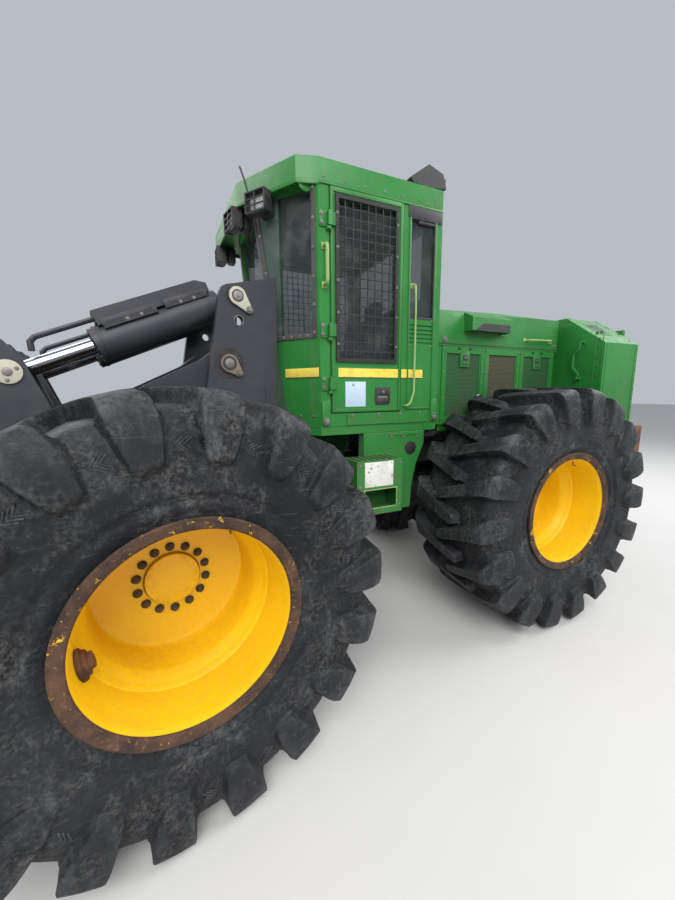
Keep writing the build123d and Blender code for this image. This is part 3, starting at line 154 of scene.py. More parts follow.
class Shader:
    """One material under construction."""

    def __init__(self, name: str) -> None:
        """Starts an empty node tree with its output and coordinates.

        Args:
            name: the material's name.
        """
        self.material = bpy.data.materials.new(name)
        self.material.use_nodes = True
        self.tree = self.material.node_tree
        self.tree.nodes.clear()
        self.output = self.tree.nodes.new("ShaderNodeOutputMaterial")
        self.coordinates = Signal(self, self.tree.nodes.new("ShaderNodeTexCoord").outputs["Object"])

    def node(self, kind: str, settings: dict, inputs: dict) -> bpy.types.Node:
        """Adds any node, its settings first and then the values or links of its sockets.

        Args:
            kind: the node's type.
            settings: properties of the node.
            inputs: socket name or number to a value or a Signal.

        Returns:
            The new node.
        """
        node = self.tree.nodes.new(kind)
        for key, value in settings.items():
            setattr(node, key, value)
        for key, value in inputs.items():
            socket = node.inputs[key]
            if isinstance(value, Signal):
                self.tree.links.new(value.socket, socket)
            else:
                socket.default_value = (*value, 1.0) if socket.type == "RGBA" else value
        return node

    def noise(self, scale: float, detail: float = 3.0, stretch: Point = (1, 1, 1),
              rough: float = 0.55) -> Signal:
        """A cloudy value about 0.5.

        Args:
            scale: how fine it is, per metre.
            detail: octaves.
            stretch: scale of each axis.
            rough: share of the fine octaves.

        Returns:
            The value.
        """
        place = self.node("ShaderNodeMapping", {}, {"Vector": self.coordinates, "Scale": tuple(stretch)})
        inputs = {"Vector": Signal(self, place.outputs["Vector"]), "Scale": scale, "Detail": detail,
                  "Roughness": rough}
        return Signal(self, self.node("ShaderNodeTexNoise", {}, inputs).outputs["Fac"])

    def along(self, axis: Axis) -> Signal:
        """One component of the object coordinates."""
        node = self.node("ShaderNodeSeparateXYZ", {}, {0: self.coordinates})
        return Signal(self, node.outputs[axis.value])

    def facing(self, axis: Axis) -> Signal:
        """One component of the surface's normal."""
        geometry = self.node("ShaderNodeNewGeometry", {}, {})
        node = self.node("ShaderNodeSeparateXYZ", {}, {0: Signal(self, geometry.outputs["Normal"])})
        return Signal(self, node.outputs[axis.value])

    def edge(self) -> Signal:
        """How sharply the surface juts out, about 0.5 where it is flat."""
        geometry = self.node("ShaderNodeNewGeometry", {}, {})
        return Signal(self, geometry.outputs["Pointiness"])

    def blend(self, factor: Number, first: Union[Colour, Signal], second: Union[Colour, Signal]) -> Signal:
        """Mixes two colours."""
        node = self.node("ShaderNodeMix", {"data_type": "RGBA"}, {0: factor, 6: first, 7: second})
        return Signal(self, node.outputs[2])

    def bump(self, height: Signal, distance: float, strength: float = 1.0) -> Signal:
        """A normal that follows a height."""
        inputs = {"Height": height, "Distance": distance, "Strength": strength}
        return Signal(self, self.node("ShaderNodeBump", {}, inputs).outputs["Normal"])

    def surface(self, colour: Signal, rough: Number, relief: Optional[Signal] = None,
                **other: Number) -> bpy.types.Material:
        """Ends the material in a principled shader.

        Args:
            colour: its base colour.
            rough: its roughness.
            relief: its normal, where it isn't plain.
            other: more inputs, with _ for the blanks in their names.

        Returns:
            The finished material.
        """
        inputs = {"Base Color": colour, "Roughness": rough}
        inputs.update({name.replace("_", " "): value for name, value in other.items()})
        if relief is not None:
            inputs["Normal"] = relief
        node = self.node("ShaderNodeBsdfPrincipled", {}, inputs)
        self.tree.links.new(node.outputs[0], self.output.inputs["Surface"])
        return self.material


_MADE: dict[str, bpy.types.Material] = {}


@dataclass(frozen=True)
class Finish:
    """A finish whose material is made once and then shared."""

    name: str

    def build(self, shader: Shader) -> bpy.types.Material:
        """Fills the material in."""
        raise NotImplementedError

    def material(self) -> bpy.types.Material:
        """The material, built on first use."""
        if self.name not in _MADE:
            _MADE[self.name] = self.build(Shader(self.name))
        return _MADE[self.name]


@dataclass(frozen=True)
class WornPaint(Finish):
    """Sprayed paint with dust on what faces up, stains that run down, chips and rust at the edges."""

    colour: Colour
    faded: Colour
    dust: float = 0.25
    chips: float = 0.3
    rough: float = 0.42
    bare: Colour = (0.13, 0.055, 0.028)
    dirt: Colour = (0.20, 0.165, 0.12)

    def build(self, shader: Shader) -> bpy.types.Material:
        """Lays fading, runs, dust and chips over the paint."""
        patches = shader.noise(1.7, 4.0)
        fine = shader.noise(38.0, 5.0)
        runs = shader.noise(9.0, 4.0, (1.0, 1.0, 0.12))
        paint = shader.blend(patches.above(0.32, 0.72) * 0.75, self.colour, self.faded)
        paint = shader.blend(runs.above(0.56, 0.78) * self.dust * 0.8, paint, self.dirt)
        up = shader.facing(Axis.Z).above(0.35, 0.95)
        low = shader.along(Axis.Z).above(1.7, 0.4)
        dusty = ((up * 0.6 + low * 0.7 + 0.12) * fine.above(0.25, 0.8) * self.dust * 1.6).least(0.85)
        paint = shader.blend(dusty, paint, self.dirt)
        edges = shader.edge().above(0.535, 0.60)
        spots = shader.noise(16.0, 7.0, rough=0.7)
        chip = ((edges * spots.above(0.47, 0.56) + spots.above(0.735, 0.75)) * self.chips).least(1.0)
        paint = shader.blend(chip, paint, self.bare)
        dents = shader.noise(3.2, 2.0) * 5.0
        relief = shader.bump(shader.noise(260.0, 2.0) * 0.12 + chip * -0.6 + dents, 0.0022)
        rough = (dusty * 0.35 + chip * 0.4 + patches * 0.14 + self.rough).least(0.95)
        return shader.surface(paint, rough, relief, Specular_IOR_Level=0.45)


@dataclass(frozen=True)
class TyreRubber(Finish):
    """Black rubber greyed by dust, with pale scuffs, a painted bluish sheen on the bars' edges, caked mud between
    the bars and fine cracks.
    """

    def build(self, shader: Shader) -> bpy.types.Material:
        """Dust, scuffs, a painted sheen on the bars' edges and mud over the rubber."""
        faded = shader.noise(2.3, 4.0).above(0.3, 0.75)
        base = shader.blend(faded, (0.006, 0.007, 0.009), (0.017, 0.018, 0.021))
        dust = shader.noise(5.0, 8.0, rough=0.68).above(0.40, 0.68)
        fine = shader.noise(60.0, 5.0, rough=0.7).above(0.40, 0.68)
        base = shader.blend(dust * fine * 0.60, base, (0.125, 0.122, 0.115))
        scuff = shader.noise(9.0, 9.0, (1.0, 1.6, 0.40), 0.78).above(0.50, 0.70)
        base = shader.blend(scuff * dust.above(0.0, 0.6) * 0.50, base, (0.13, 0.133, 0.138))
        # pale bluish patches on the bars' jutting edges: partly scuffs, partly a painted sheen standing in for the
        # highlights on the rubber
        patches = shader.noise(16.0, 9.0, (1.0, 1.8, 0.5), 0.78).above(0.40, 0.66)
        base = shader.blend(shader.edge().above(0.520, 0.600) * patches * 0.60, base, (0.115, 0.119, 0.127))
        streak = shader.noise(24.0, 8.0, (0.30, 1.0, 2.6), 0.75).above(0.57, 0.70)
        base = shader.blend(streak * 0.40, base, (0.17, 0.17, 0.168))
        mud = shader.noise(4.0, 5.0, rough=0.7).above(0.66, 0.74) * shader.edge().above(0.50, 0.46)
        base = shader.blend(mud * 0.8, base, (0.13, 0.085, 0.045))
        height = shader.noise(30.0, 6.0) * 0.7 + shader.noise(190.0, 3.0) * 0.25 + streak * 0.3 + mud * 0.6
        rough = 0.50 + dust * 0.35 - scuff * 0.1
        return shader.surface(base, rough, shader.bump(height, 0.005), Specular_IOR_Level=0.24)


@dataclass(frozen=True)
class RustedSteel(Finish):
    """Bare steel under a skin of rust."""

    light: Colour = (0.19, 0.085, 0.042)
    dark: Colour = (0.060, 0.030, 0.020)

    def build(self, shader: Shader) -> bpy.types.Material:
        """Two rusts in patches, with pits."""
        patches = shader.noise(6.0, 7.0, rough=0.65)
        colour = shader.blend(patches.above(0.38, 0.66), self.dark, self.light)
        spots = shader.noise(55.0, 5.0, rough=0.7)
        colour = shader.blend(spots.above(0.6, 0.72) * 0.7, colour, (0.28, 0.16, 0.10))
        relief = shader.bump(spots + patches * 0.5, 0.003)
        return shader.surface(colour, 0.78 + spots * 0.15, relief, Metallic=patches.above(0.5, 0.3) * 0.25)


@dataclass(frozen=True)
class PolishedRod(Finish):
    """Hard chrome with an oily film."""

    def build(self, shader: Shader) -> bpy.types.Material:
        """Fine scratches along the rod and smears of oil."""
        film = shader.noise(9.0, 4.0).above(0.5, 0.75)
        colour = shader.blend(film * 0.55, (0.33, 0.34, 0.36), (0.12, 0.11, 0.10))
        scratches = shader.bump(shader.noise(300.0, 2.0), 0.0003, 0.4)
        return shader.surface(colour, 0.14 + film * 0.3, scratches, Metallic=1.0)


@dataclass(frozen=True)
class BrightSteel(Finish):
    """Worn bare steel, as on pins, teeth and bolt heads."""

    tint: Colour = (0.27, 0.26, 0.25)

    def build(self, shader: Shader) -> bpy.types.Material:
        """Grey steel with brown stain."""
        stain = shader.noise(7.0, 7.0, rough=0.70).above(0.36, 0.80)
        colour = shader.blend(stain * 0.8, self.tint, (0.10, 0.065, 0.045))
        relief = shader.bump(shader.noise(120.0, 4.0), 0.0012)
        return shader.surface(colour, 0.42 + stain * 0.30, relief, Metallic=0.75)


@dataclass(frozen=True)
class CabGlass(Finish):
    """Clear polycarbonate that has gone hazy."""

    tint: Colour = (0.045, 0.055, 0.058)
    haze: float = 0.38

    def build(self, shader: Shader) -> bpy.types.Material:
        """A thin see-through sheet with dirt towards its lower edge."""
        dirt = shader.noise(5.0, 6.0, rough=0.6).above(0.45, 0.85)
        low = shader.along(Axis.Z).above(2.75, 2.15)
        cover = (dirt * 0.22 + low * 0.10 + self.haze).least(0.8)
        colour = shader.blend(dirt * 0.7, self.tint, (0.22, 0.23, 0.22))
        return shader.surface(colour, 0.06 + dirt * 0.22, IOR=1.45, Specular_IOR_Level=0.6, Alpha=cover)


@dataclass(frozen=True)
class SoftCover(Finish):
    """Woven seat cloth."""

    colour: Colour = (0.028, 0.028, 0.031)

    def build(self, shader: Shader) -> bpy.types.Material:
        """A fine weave with worn patches."""
        weave = (shader.along(Axis.Y) * 1600.0).ripple() * (shader.along(Axis.X) * 1600.0).ripple()
        worn = shader.noise(6.0, 4.0).above(0.45, 0.8)
        colour = shader.blend(worn * 0.5, self.colour, (0.10, 0.095, 0.09))
        relief = shader.bump(weave * 0.4 + shader.noise(70.0, 3.0) * 0.5, 0.0012)
        return shader.surface(colour, 0.86 + weave * 0.06, relief, Sheen_Weight=0.25)


@dataclass(frozen=True)
class DarkPlastic(Finish):
    """Moulded black plastic or rubber, as on lamps and seals."""

    colour: Colour = (0.022, 0.022, 0.024)
    rough: float = 0.55

    def build(self, shader: Shader) -> bpy.types.Material:
        """Grain with a little dust."""
        dust = shader.noise(14.0, 6.0, rough=0.65).above(0.5, 0.8)
        colour = shader.blend(dust * 0.45, self.colour, (0.17, 0.155, 0.135))
        relief = shader.bump(shader.noise(340.0, 2.0), 0.0006)
        return shader.surface(colour, dust * 0.3 + self.rough, relief)


@dataclass(frozen=True)
class LampLens(Finish):
    """A ribbed lamp glass over a bright reflector."""

    def build(self, shader: Shader) -> bpy.types.Material:
        """Ribs in a silvery face."""
        ribs = (shader.along(Axis.Z) * 420.0).ripple()
        colour = shader.blend(shader.noise(20.0, 3.0), (0.72, 0.73, 0.72), (0.42, 0.42, 0.40))
        return shader.surface(colour, 0.16 + ribs.absolute() * 0.1, shader.bump(ribs, 0.0015), Metallic=0.35,
                              Coat_Weight=0.8 + ribs * 0.05, Coat_Roughness=0.05)


@dataclass(frozen=True)
class PunchedSheet(Finish):
    """Painted sheet punched with rows of small round holes, whose near-black is painted shade, dusty between them.
    """

    paint: Colour
    grime: Colour
    pitch: float = 0.0115
    hole: float = 0.34

    def build(self, shader: Shader) -> bpy.types.Material:
        """Near-black holes of painted shade on a staggered grid over stained paint."""
        turn = math.tau / self.pitch
        rows = (shader.along(Axis.Z) * turn * 0.5).ripple() * (shader.along(Axis.X) * turn * 0.5).ripple()
        shaded_holes = rows.absolute().above(self.hole, self.hole + 0.30)
        stain = shader.noise(4.0, 6.0, rough=0.62).above(0.38, 0.72)
        sheet = shader.blend(stain * 0.7, self.paint, self.grime)
        # the holes are painted near-black: painted shade standing in for the dark seen through real holes
        colour = shader.blend(shaded_holes, sheet, (0.006, 0.007, 0.006))
        relief = shader.bump(shaded_holes * -1.0, 0.0012)
        return shader.surface(colour, stain * 0.3 + 0.55, relief, Specular_IOR_Level=0.3)


@dataclass(frozen=True)
class BlankLabel(Finish):
    """A weathered blank label, pale with a worn film."""

    tint: Colour = (0.72, 0.72, 0.66)

    def build(self, shader: Shader) -> bpy.types.Material:
        """Dirty paper with torn patches."""
        torn = shader.noise(22.0, 6.0, rough=0.7).above(0.60, 0.66)
        dirt = shader.noise(9.0, 5.0).above(0.4, 0.8)
        colour = shader.blend(dirt * 0.6, self.tint, (0.38, 0.36, 0.30))
        colour = shader.blend(torn * 0.8, colour, (0.10, 0.16, 0.08))
        return shader.surface(colour, dirt * 0.2 + 0.5, shader.bump(torn, 0.0004))


@dataclass(frozen=True)
class RustyRimPaint(Finish):
    """Wheel paint that has flaked off the flange down to rust."""

    paint: Colour = (0.80, 0.46, 0.008)

    def build(self, shader: Shader) -> bpy.types.Material:
        """Specks of paint left in brown rust."""
        patches = shader.noise(9.0, 6.0, rough=0.65).above(0.35, 0.7)
        rust = shader.blend(patches, (0.028, 0.015, 0.010), (0.098, 0.046, 0.024))
        rust = shader.blend(shader.noise(60.0, 4.0).above(0.58, 0.7) * 0.5, rust, (0.22, 0.12, 0.07))
        left = shader.noise(24.0, 7.0, rough=0.72).above(0.61, 0.65)
        relief = shader.bump(left + shader.noise(90.0, 4.0) * 0.4, 0.0015)
        return shader.surface(shader.blend(left, rust, self.paint), left * -0.3 + 0.82, relief)


GREEN = WornPaint("green_paint", (0.011, 0.158, 0.021), (0.022, 0.208, 0.036), 0.18, 0.28, 0.32)
PALE_GREEN = WornPaint("pale_green_paint", (0.20, 0.36, 0.08), (0.34, 0.42, 0.20), 0.3, 0.6, 0.5)
CHARCOAL = WornPaint("charcoal_paint", (0.022, 0.025, 0.032), (0.034, 0.038, 0.046), 0.12, 0.16, 0.42,
                     (0.16, 0.12, 0.10))
BLACK = WornPaint("black_paint", (0.010, 0.010, 0.011), (0.018, 0.018, 0.019), 0.2, 0.2, 0.4,
                  (0.10, 0.07, 0.05))
YELLOW = WornPaint("wheel_yellow", (0.83, 0.50, 0.002), (0.90, 0.60, 0.006), 0.12, 0.32, 0.36,
                   (0.16, 0.060, 0.02), (0.42, 0.24, 0.06))
STRIPE = WornPaint("stripe_yellow", (0.80, 0.60, 0.045), (0.82, 0.66, 0.12), 0.12, 0.2, 0.45)
CREAM = WornPaint("cream_paint", (0.42, 0.40, 0.31), (0.52, 0.50, 0.40), 0.3, 0.5, 0.55)
STRIP_GREY = WornPaint("strip_grey", (0.040, 0.045, 0.048), (0.075, 0.080, 0.082), 0.25, 0.3, 0.5)
WHITE = WornPaint("lifting_eye_white", (0.62, 0.64, 0.62), (0.70, 0.71, 0.68), 0.3, 0.6, 0.5)
WORN_PIN = WornPaint("worn_pin_plate", (0.13, 0.085, 0.060), (0.24, 0.19, 0.15), 0.3, 0.9, 0.6,
                     (0.22, 0.085, 0.035))
BOLT_DARK = WornPaint("dark_bolt", (0.035, 0.028, 0.020), (0.085, 0.060, 0.030), 0.3, 0.7, 0.6,
                      (0.10, 0.05, 0.02))
RUBBER = TyreRubber("tyre_rubber")
RUST = RustedSteel("rusted_steel")
CHROME = PolishedRod("polished_rod")
STEEL = BrightSteel("bright_steel")
SAW_STEEL = BrightSteel("saw_steel", (0.115, 0.110, 0.105))
GLASS = CabGlass("cab_glass")
# the corner panes' pale blue-grey colour and thick haze are partly tint, partly a painted reflection that makes
# the glass read as reflective grey
PANE = CabGlass("tinted_pane_painted_reflection", (0.085, 0.095, 0.110), 0.60)
CLOTH = SoftCover("seat_cloth")
PLASTIC = DarkPlastic("dark_plastic")
LENS = LampLens("lamp_lens")
FLANGE = RustyRimPaint("rusty_flange")
PAPER = BlankLabel("blank_label")
PAPER_BLUE = BlankLabel("blank_label_blue", (0.46, 0.60, 0.72))
PUNCHED = PunchedSheet("punched_sheet", (0.020, 0.120, 0.035), (0.060, 0.090, 0.040))
PUNCHED_BROWN = PunchedSheet("punched_sheet_brown", (0.075, 0.085, 0.038), (0.120, 0.085, 0.048))

# finish: the nodes that have it
FINISHED: tuple[tuple[Finish, str], ...] = (
    (CHARCOAL, "rear_frame rear_axle front_frame front_axle boom head_adapter lift_barrels tilt_barrels "
               "steer_barrel_left steer_barrel_right"),
    (GREEN, "side_screens radiator_box cab_floor cab_body cab_roof side_tanks step_box head_frame "
            "saw_housing harvest_arm accumulator_arm cab_door hood rear_door"),
    (BLACK, "engine_block radiator_core seat_base door_guard"),
    (CHROME, "lift_rods tilt_rods steer_rod_left steer_rod_right"),
    (RUBBER, "tyre_front_left tyre_front_right tyre_rear_left tyre_rear_right"),
    (YELLOW, "rim_front_left rim_front_right rim_rear_left rim_rear_right"),
    (GLASS, "cab_glass door_glass"),
    (RUST, "rear_bumper"),
    (CLOTH, "seat_cushions"),
    (PLASTIC, "work_lamps"),
    (PALE_GREEN, "grab_rails"),
    (STEEL, "head_pins"),
    (SAW_STEEL, "saw_disc"),
)
NODE_FINISHES: dict[str, Finish] = {node: finish for finish, nodes in FINISHED for node in nodes.split()}


def circle(centre: Point, radius: float, count: int, axis: Axis = Axis.Y, start: float = 0.0) -> list[Vector]:
    """Points evenly spaced round an axis, the first at an angle in radians."""
    made = []
    for i in range(count):
        turn = start + math.tau * i / count
        u, v = radius * math.cos(turn), radius * math.sin(turn)
        made.append(Vector(centre) + Vector((0, u, v) if axis is Axis.X else (u, 0, v)))
    return made


def rounded(points: Sequence[Point], radius: float, steps: int = 4) -> list[Vector]:
    """A route of straight runs with its corners turned through arcs.

    Args:
        points: the corners of the route, its ends included.
        radius: how far from a corner its turn starts.
        steps: straight pieces in a turn.

    Returns:
        The points of the smoother route.
    """
    corners = [Vector(p) for p in points]
    route = [corners[0]]
    for before, corner, after in zip(corners, corners[1:], corners[2:]):
        back, ahead = before - corner, after - corner
        reach = min(radius, back.length * 0.45, ahead.length * 0.45)
        start, stop = corner + back.normalized() * reach, corner + ahead.normalized() * reach
        for step in range(steps + 1):
            t = step / steps
            route.append(start * (1 - t) ** 2 + corner * 2 * t * (1 - t) + stop * t ** 2)
    route.append(corners[-1])
    return route


def link(name: str, data: bpy.types.ID) -> bpy.types.Object:
    """An object for a mesh, camera or light, in the scene."""
    item = bpy.data.objects.new(name, data)
    bpy.context.scene.collection.objects.link(item)
    return item


def shade(mesh: bmesh.types.BMesh, sharp: float) -> None:
    """Smooths a mesh but for the edges that turn by more than so many degrees."""
    for face in mesh.faces:
        face.smooth = True
    for edge in mesh.edges:
        edge.smooth = edge.calc_face_angle(0.0) < math.radians(sharp)


@dataclass
class Piece:
    """One piece under construction, in metres, in the own frame of one half of the machine."""

    name: str
    finish: Finish
    half: Half = Half.REAR
    mesh: bmesh.types.BMesh = field(default_factory=bmesh.new)

    def _finish_form(self, verts: Sequence, width: float, matrix: Optional[Matrix] = None) -> "Piece":
        """Moves a new form by the matrix and bevels every sharp edge between its vertices."""
        if matrix is not None:
            bmesh.ops.transform(self.mesh, matrix=matrix, verts=verts)
        if width > 0:
            chosen = set(verts)
            edges = [e for e in self.mesh.edges if e.verts[0] in chosen and e.verts[1] in chosen
                     and e.calc_face_angle(0.0) > math.radians(20)]
            bmesh.ops.bevel(self.mesh, geom=edges, offset=width, offset_type="OFFSET", affect="EDGES",
                            segments=2, profile=0.5, material=-1, clamp_overlap=True)
        return self

    def slab(self, low: Point, high: Point, bevel: float = 0.0, matrix: Optional[Matrix] = None) -> "Piece":
        """Adds a box with rounded edges.

        Args:
            low: its lowest corner.
            high: its highest corner.
            bevel: width of the rounding.
            matrix: turns and moves it after it is made.

        Returns:
            The piece itself.
        """
        low, high = Vector(low), Vector(high)
        verts = bmesh.ops.create_cube(self.mesh, size=1.0)["verts"]
        bmesh.ops.scale(self.mesh, vec=high - low, verts=verts)
        bmesh.ops.translate(self.mesh, vec=(high + low) / 2, verts=verts)
        return self._finish_form(verts, bevel, matrix)

    def wall(self, side: int, x: Point, depth: Point, z: Point, bevel: float = 0.0,
             matrix: Optional[Matrix] = None) -> "Piece":
        """Adds a box on one side, between two distances from the middle plane."""
        low, high = sorted((side * depth[0], side * depth[1]))
        return self.slab((x[0], low, z[0]), (x[1], high, z[1]), bevel, matrix)

    def row(self, count: int, step: Point, low: Point, high: Point, bevel: float = 0.0) -> "Piece":
        """Adds a box and its copies, each one step further."""
        for i in range(count):
            move = Vector(step) * i
            self.slab(Vector(low) + move, Vector(high) + move, bevel)
        return self

    def ring(self, low: Point, high: Point, thick: float, run: Axis, rise: Axis, bevel: float = 0.002,
             matrix: Optional[Matrix] = None) -> "Piece":
        """Adds four strips round the rim of a flat box.

        Args:
            low: the box's lowest corner.
            high: its highest corner.
            thick: width of the strips.
            run: axis of the two strips that go right across.
            rise: axis of the two strips between them.
            bevel: width of their rounding.
            matrix: turns and moves them after they are made.

        Returns:
            The piece itself.
        """
        for axis, inner in ((rise.value, None), (run.value, rise.value)):
            for end in (0, 1):
                corners = [Vector(low), Vector(high)]
                if inner is not None:
                    corners[0][inner] += thick
                    corners[1][inner] -= thick
                corners[1 - end][axis] = corners[end][axis] + (thick if end == 0 else -thick)
                self.slab(*corners, bevel, matrix)
        return self

    def plate(self, outline: Sequence[Point], axis: Axis, low: float, high: float,
              bevel: float = 0.0) -> "Piece":
        """Adds an outline extruded along an axis.

        Args:
            outline: its corners on the two other axes, in their order.
            axis: the axis of the extrusion.
            low: where it starts.
            high: where it ends.
            bevel: width of the rounding of its edges.

        Returns:
            The piece itself.
        """
        def corner(u: float, v: float, w: float) -> Vector:
            """A point from its place in the outline and along the axis."""
            return Vector((u, w, v) if axis is Axis.Y else (u, v, w))

        near = [self.mesh.verts.new(corner(u, v, low)) for u, v in outline]
        made = bmesh.ops.extrude_face_region(self.mesh, geom=[self.mesh.faces.new(near)])["geom"]
        far = [g for g in made if isinstance(g, bmesh.types.BMVert)]
        bmesh.ops.translate(self.mesh, vec=corner(0, 0, high - low), verts=far)
        return self._finish_form(near + far, bevel)

    def bar(self, start: Point, end: Point, radius: float, sides: int = 24, bevel: float = 0.0,
            tip: Optional[float] = None) -> "Piece":
        """Adds a round bar, or a cone if its tip has another radius.

        Args:
            start: middle of its first end.
            end: middle of its other end.
            radius: radius at the start.
            sides: faces round it.
            bevel: width of the rounding at its ends.
            tip: radius at the end.

        Returns:
            The piece itself.
        """
        start, end = Vector(start), Vector(end)
        turn = (end - start).to_track_quat("Z", "Y").to_matrix().to_4x4()
        verts = bmesh.ops.create_cone(self.mesh, cap_ends=True, segments=sides, radius1=radius,
                                      radius2=radius if tip is None else tip, depth=(end - start).length,
                                      matrix=Matrix.Translation((start + end) / 2) @ turn)["verts"]
        return self._finish_form(verts, bevel)

    def disc(self, x: float, z: float, near: float, far: float, radius: float, sides: int = 24,
             bevel: float = 0.0) -> "Piece":
        """Adds a round bar across the machine, between two values of y."""
        return self.bar((x, near, z), (x, far, z), radius, sides, bevel)

    def bolt(self, at: Point, out: Point, radius: float = 0.011, height: float = 0.008) -> "Piece":
        """Adds a washer with a chamfered six-sided head, standing out from a face."""
        at, out = Vector(at), Vector(out).normalized()
        self.bar(at - out * 0.002, at + out * height * 0.25, radius * 1.35, 16)
        self.bar(at + out * height * 0.25, at + out * height * 0.8, radius, 6)
        return self.bar(at + out * height * 0.8, at + out * height, radius * 0.98, 6, tip=radius * 0.8)

    def bolts(self, places: Iterable[Point], out: Point, radius: float = 0.011,
              height: float = 0.008) -> "Piece":
        """Adds a bolt at each place."""
        for place in places:
            self.bolt(place, out, radius, height)
        return self

    def spin(self, profile: Sequence[Point], centre: Point = (0, 0, 0), axis: Axis = Axis.Y,
             steps: int = 48) -> "Piece":
        """Adds a turned form.

        Args:
            profile: radius and place along the axis of each point.
            centre: a point on the axis, from which places are measured.
            axis: the axis of the turning.
            steps: faces round it.

        Returns:
            The piece itself.
        """
        along = Vector([float(i == axis.value) for i in range(3)])
        out = Vector((0, 0, 1)) if axis is not Axis.Z else Vector((1, 0, 0))
        verts = [self.mesh.verts.new(Vector(centre) + out * r + along * h) for r, h in profile]
        edges = [self.mesh.edges.new(pair) for pair in zip(verts, verts[1:])]
        bmesh.ops.spin(self.mesh, geom=verts + edges, cent=centre, axis=along, dvec=(0, 0, 0), angle=math.tau,
                       steps=steps, use_merge=True, use_duplicate=False)
        return self

    def loft(self, rings: Sequence[Sequence[Point]], closed: bool = True, capped: bool = True) -> "Piece":
        """Adds a skin over rings of points.

        Args:
            rings: as many points in each.
            closed: the last point of a ring joins its first.
            capped: the end rings are filled.

        Returns:
            The piece itself.
        """
        rows = [[self.mesh.verts.new(p) for p in ring] for ring in rings]
        count = len(rows[0])
        for low, high in zip(rows, rows[1:]):
            for i in range(count if closed else count - 1):
                j = (i + 1) % count
                self.mesh.faces.new((low[i], low[j], high[j], high[i]))
        if capped:
            self.mesh.faces.new(list(reversed(rows[0])))
            self.mesh.faces.new(rows[-1])
        return self

    def tube(self, points: Sequence[Point], radius: float, corner: float = 0.03, sides: int = 12) -> "Piece":
        """Adds a bent round bar along a route whose corners are turned."""
        route = rounded(points, corner) if len(points) > 2 else [Vector(p) for p in points]
        side = (route[1] - route[0]).normalized().orthogonal()
        rings = []
        for i, point in enumerate(route):
            ahead = (route[min(i + 1, len(route) - 1)] - route[max(i - 1, 0)]).normalized()
            side = (side - ahead * side.dot(ahead)).normalized()
            other = ahead.cross(side)
            rings.append([point + (side * math.cos(a) + other * math.sin(a)) * radius
                          for a in (math.tau * k / sides for k in range(sides))])
        return self.loft(rings)

    def put(self, body: str, replaces: Sequence[str] = (), slot: Optional[str] = None, sharp: float = 34.0,
            places: Optional[dict[str, Matrix]] = None) -> list[bpy.types.Object]:
        """Ends the piece and hangs it on a body.

        Args:
            body: the body that it rides on.
            replaces: nodes of the frame that it stands for.
            slot: the record's material slot; not used.
            sharp: edges that turn by more degrees stay crisp.
            places: body to matrix, for copies of the piece that each have their own place.

        Returns:
            The finished objects.
        """
        bmesh.ops.recalc_face_normals(self.mesh, faces=self.mesh.faces[:])
        shade(self.mesh, sharp)
        made = []
        for number, (name, matrix) in enumerate((places or {body: LAYOUT.matrix(self.half)}).items()):
            copy = self.mesh.copy()
            bmesh.ops.transform(copy, matrix=matrix, verts=copy.verts[:])
            data = bpy.data.meshes.new(self.name)
            copy.to_mesh(data)
            copy.free()
            data.materials.append(self.finish.material())
            item = link(f"{self.name}.{number}" if places else self.name, data)
            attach(item, name)
            if replaces:
                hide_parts(*([replaces[number]] if places else replaces))
            made.append(item)
        LOG.info("%s: %d faces", self.name, len(self.mesh.faces))
        self.mesh.free()
        return made


def put_all(body: str, *pieces: Piece) -> None:
    """Ends several pieces that ride on one body."""
    for piece in pieces:
        piece.put(body)


@dataclass(frozen=True)
class Softened:
    """Stands for a sheet-metal node with a merged copy whose edges are rounded as folded plate is."""

    node: str
    body: str
    width: float
    crease: float = math.radians(34)

    def build(self) -> bpy.types.Object:
        """Copies the node, merges its loose triangles and rounds its edges."""
        mesh = bmesh.new()
        mesh.from_mesh(frame["nodes"][self.node].data)
        bmesh.ops.remove_doubles(mesh, verts=mesh.verts[:], dist=0.00005)
        bmesh.ops.dissolve_limit(mesh, angle_limit=math.radians(0.8), verts=mesh.verts[:],
                                 edges=mesh.edges[:], use_dissolve_boundaries=False)
        shade(mesh, 34)
        data = bpy.data.meshes.new(self.node + "_rounded")
        mesh.to_mesh(data)
        mesh.free()
        data.materials.append(NODE_FINISHES[self.node].material())
        item = link(self.node + "_rounded", data)
        bevel = item.modifiers.new("rounding", "BEVEL")
        bevel.width = self.width
        bevel.segments = 2
        bevel.limit_method = "ANGLE"
        bevel.angle_limit = self.crease
        bevel.use_clamp_overlap = True
        bevel.harden_normals = True
        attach(item, self.body)
        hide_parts(self.node)
        LOG.info("%s: rounded", self.node)
        return item


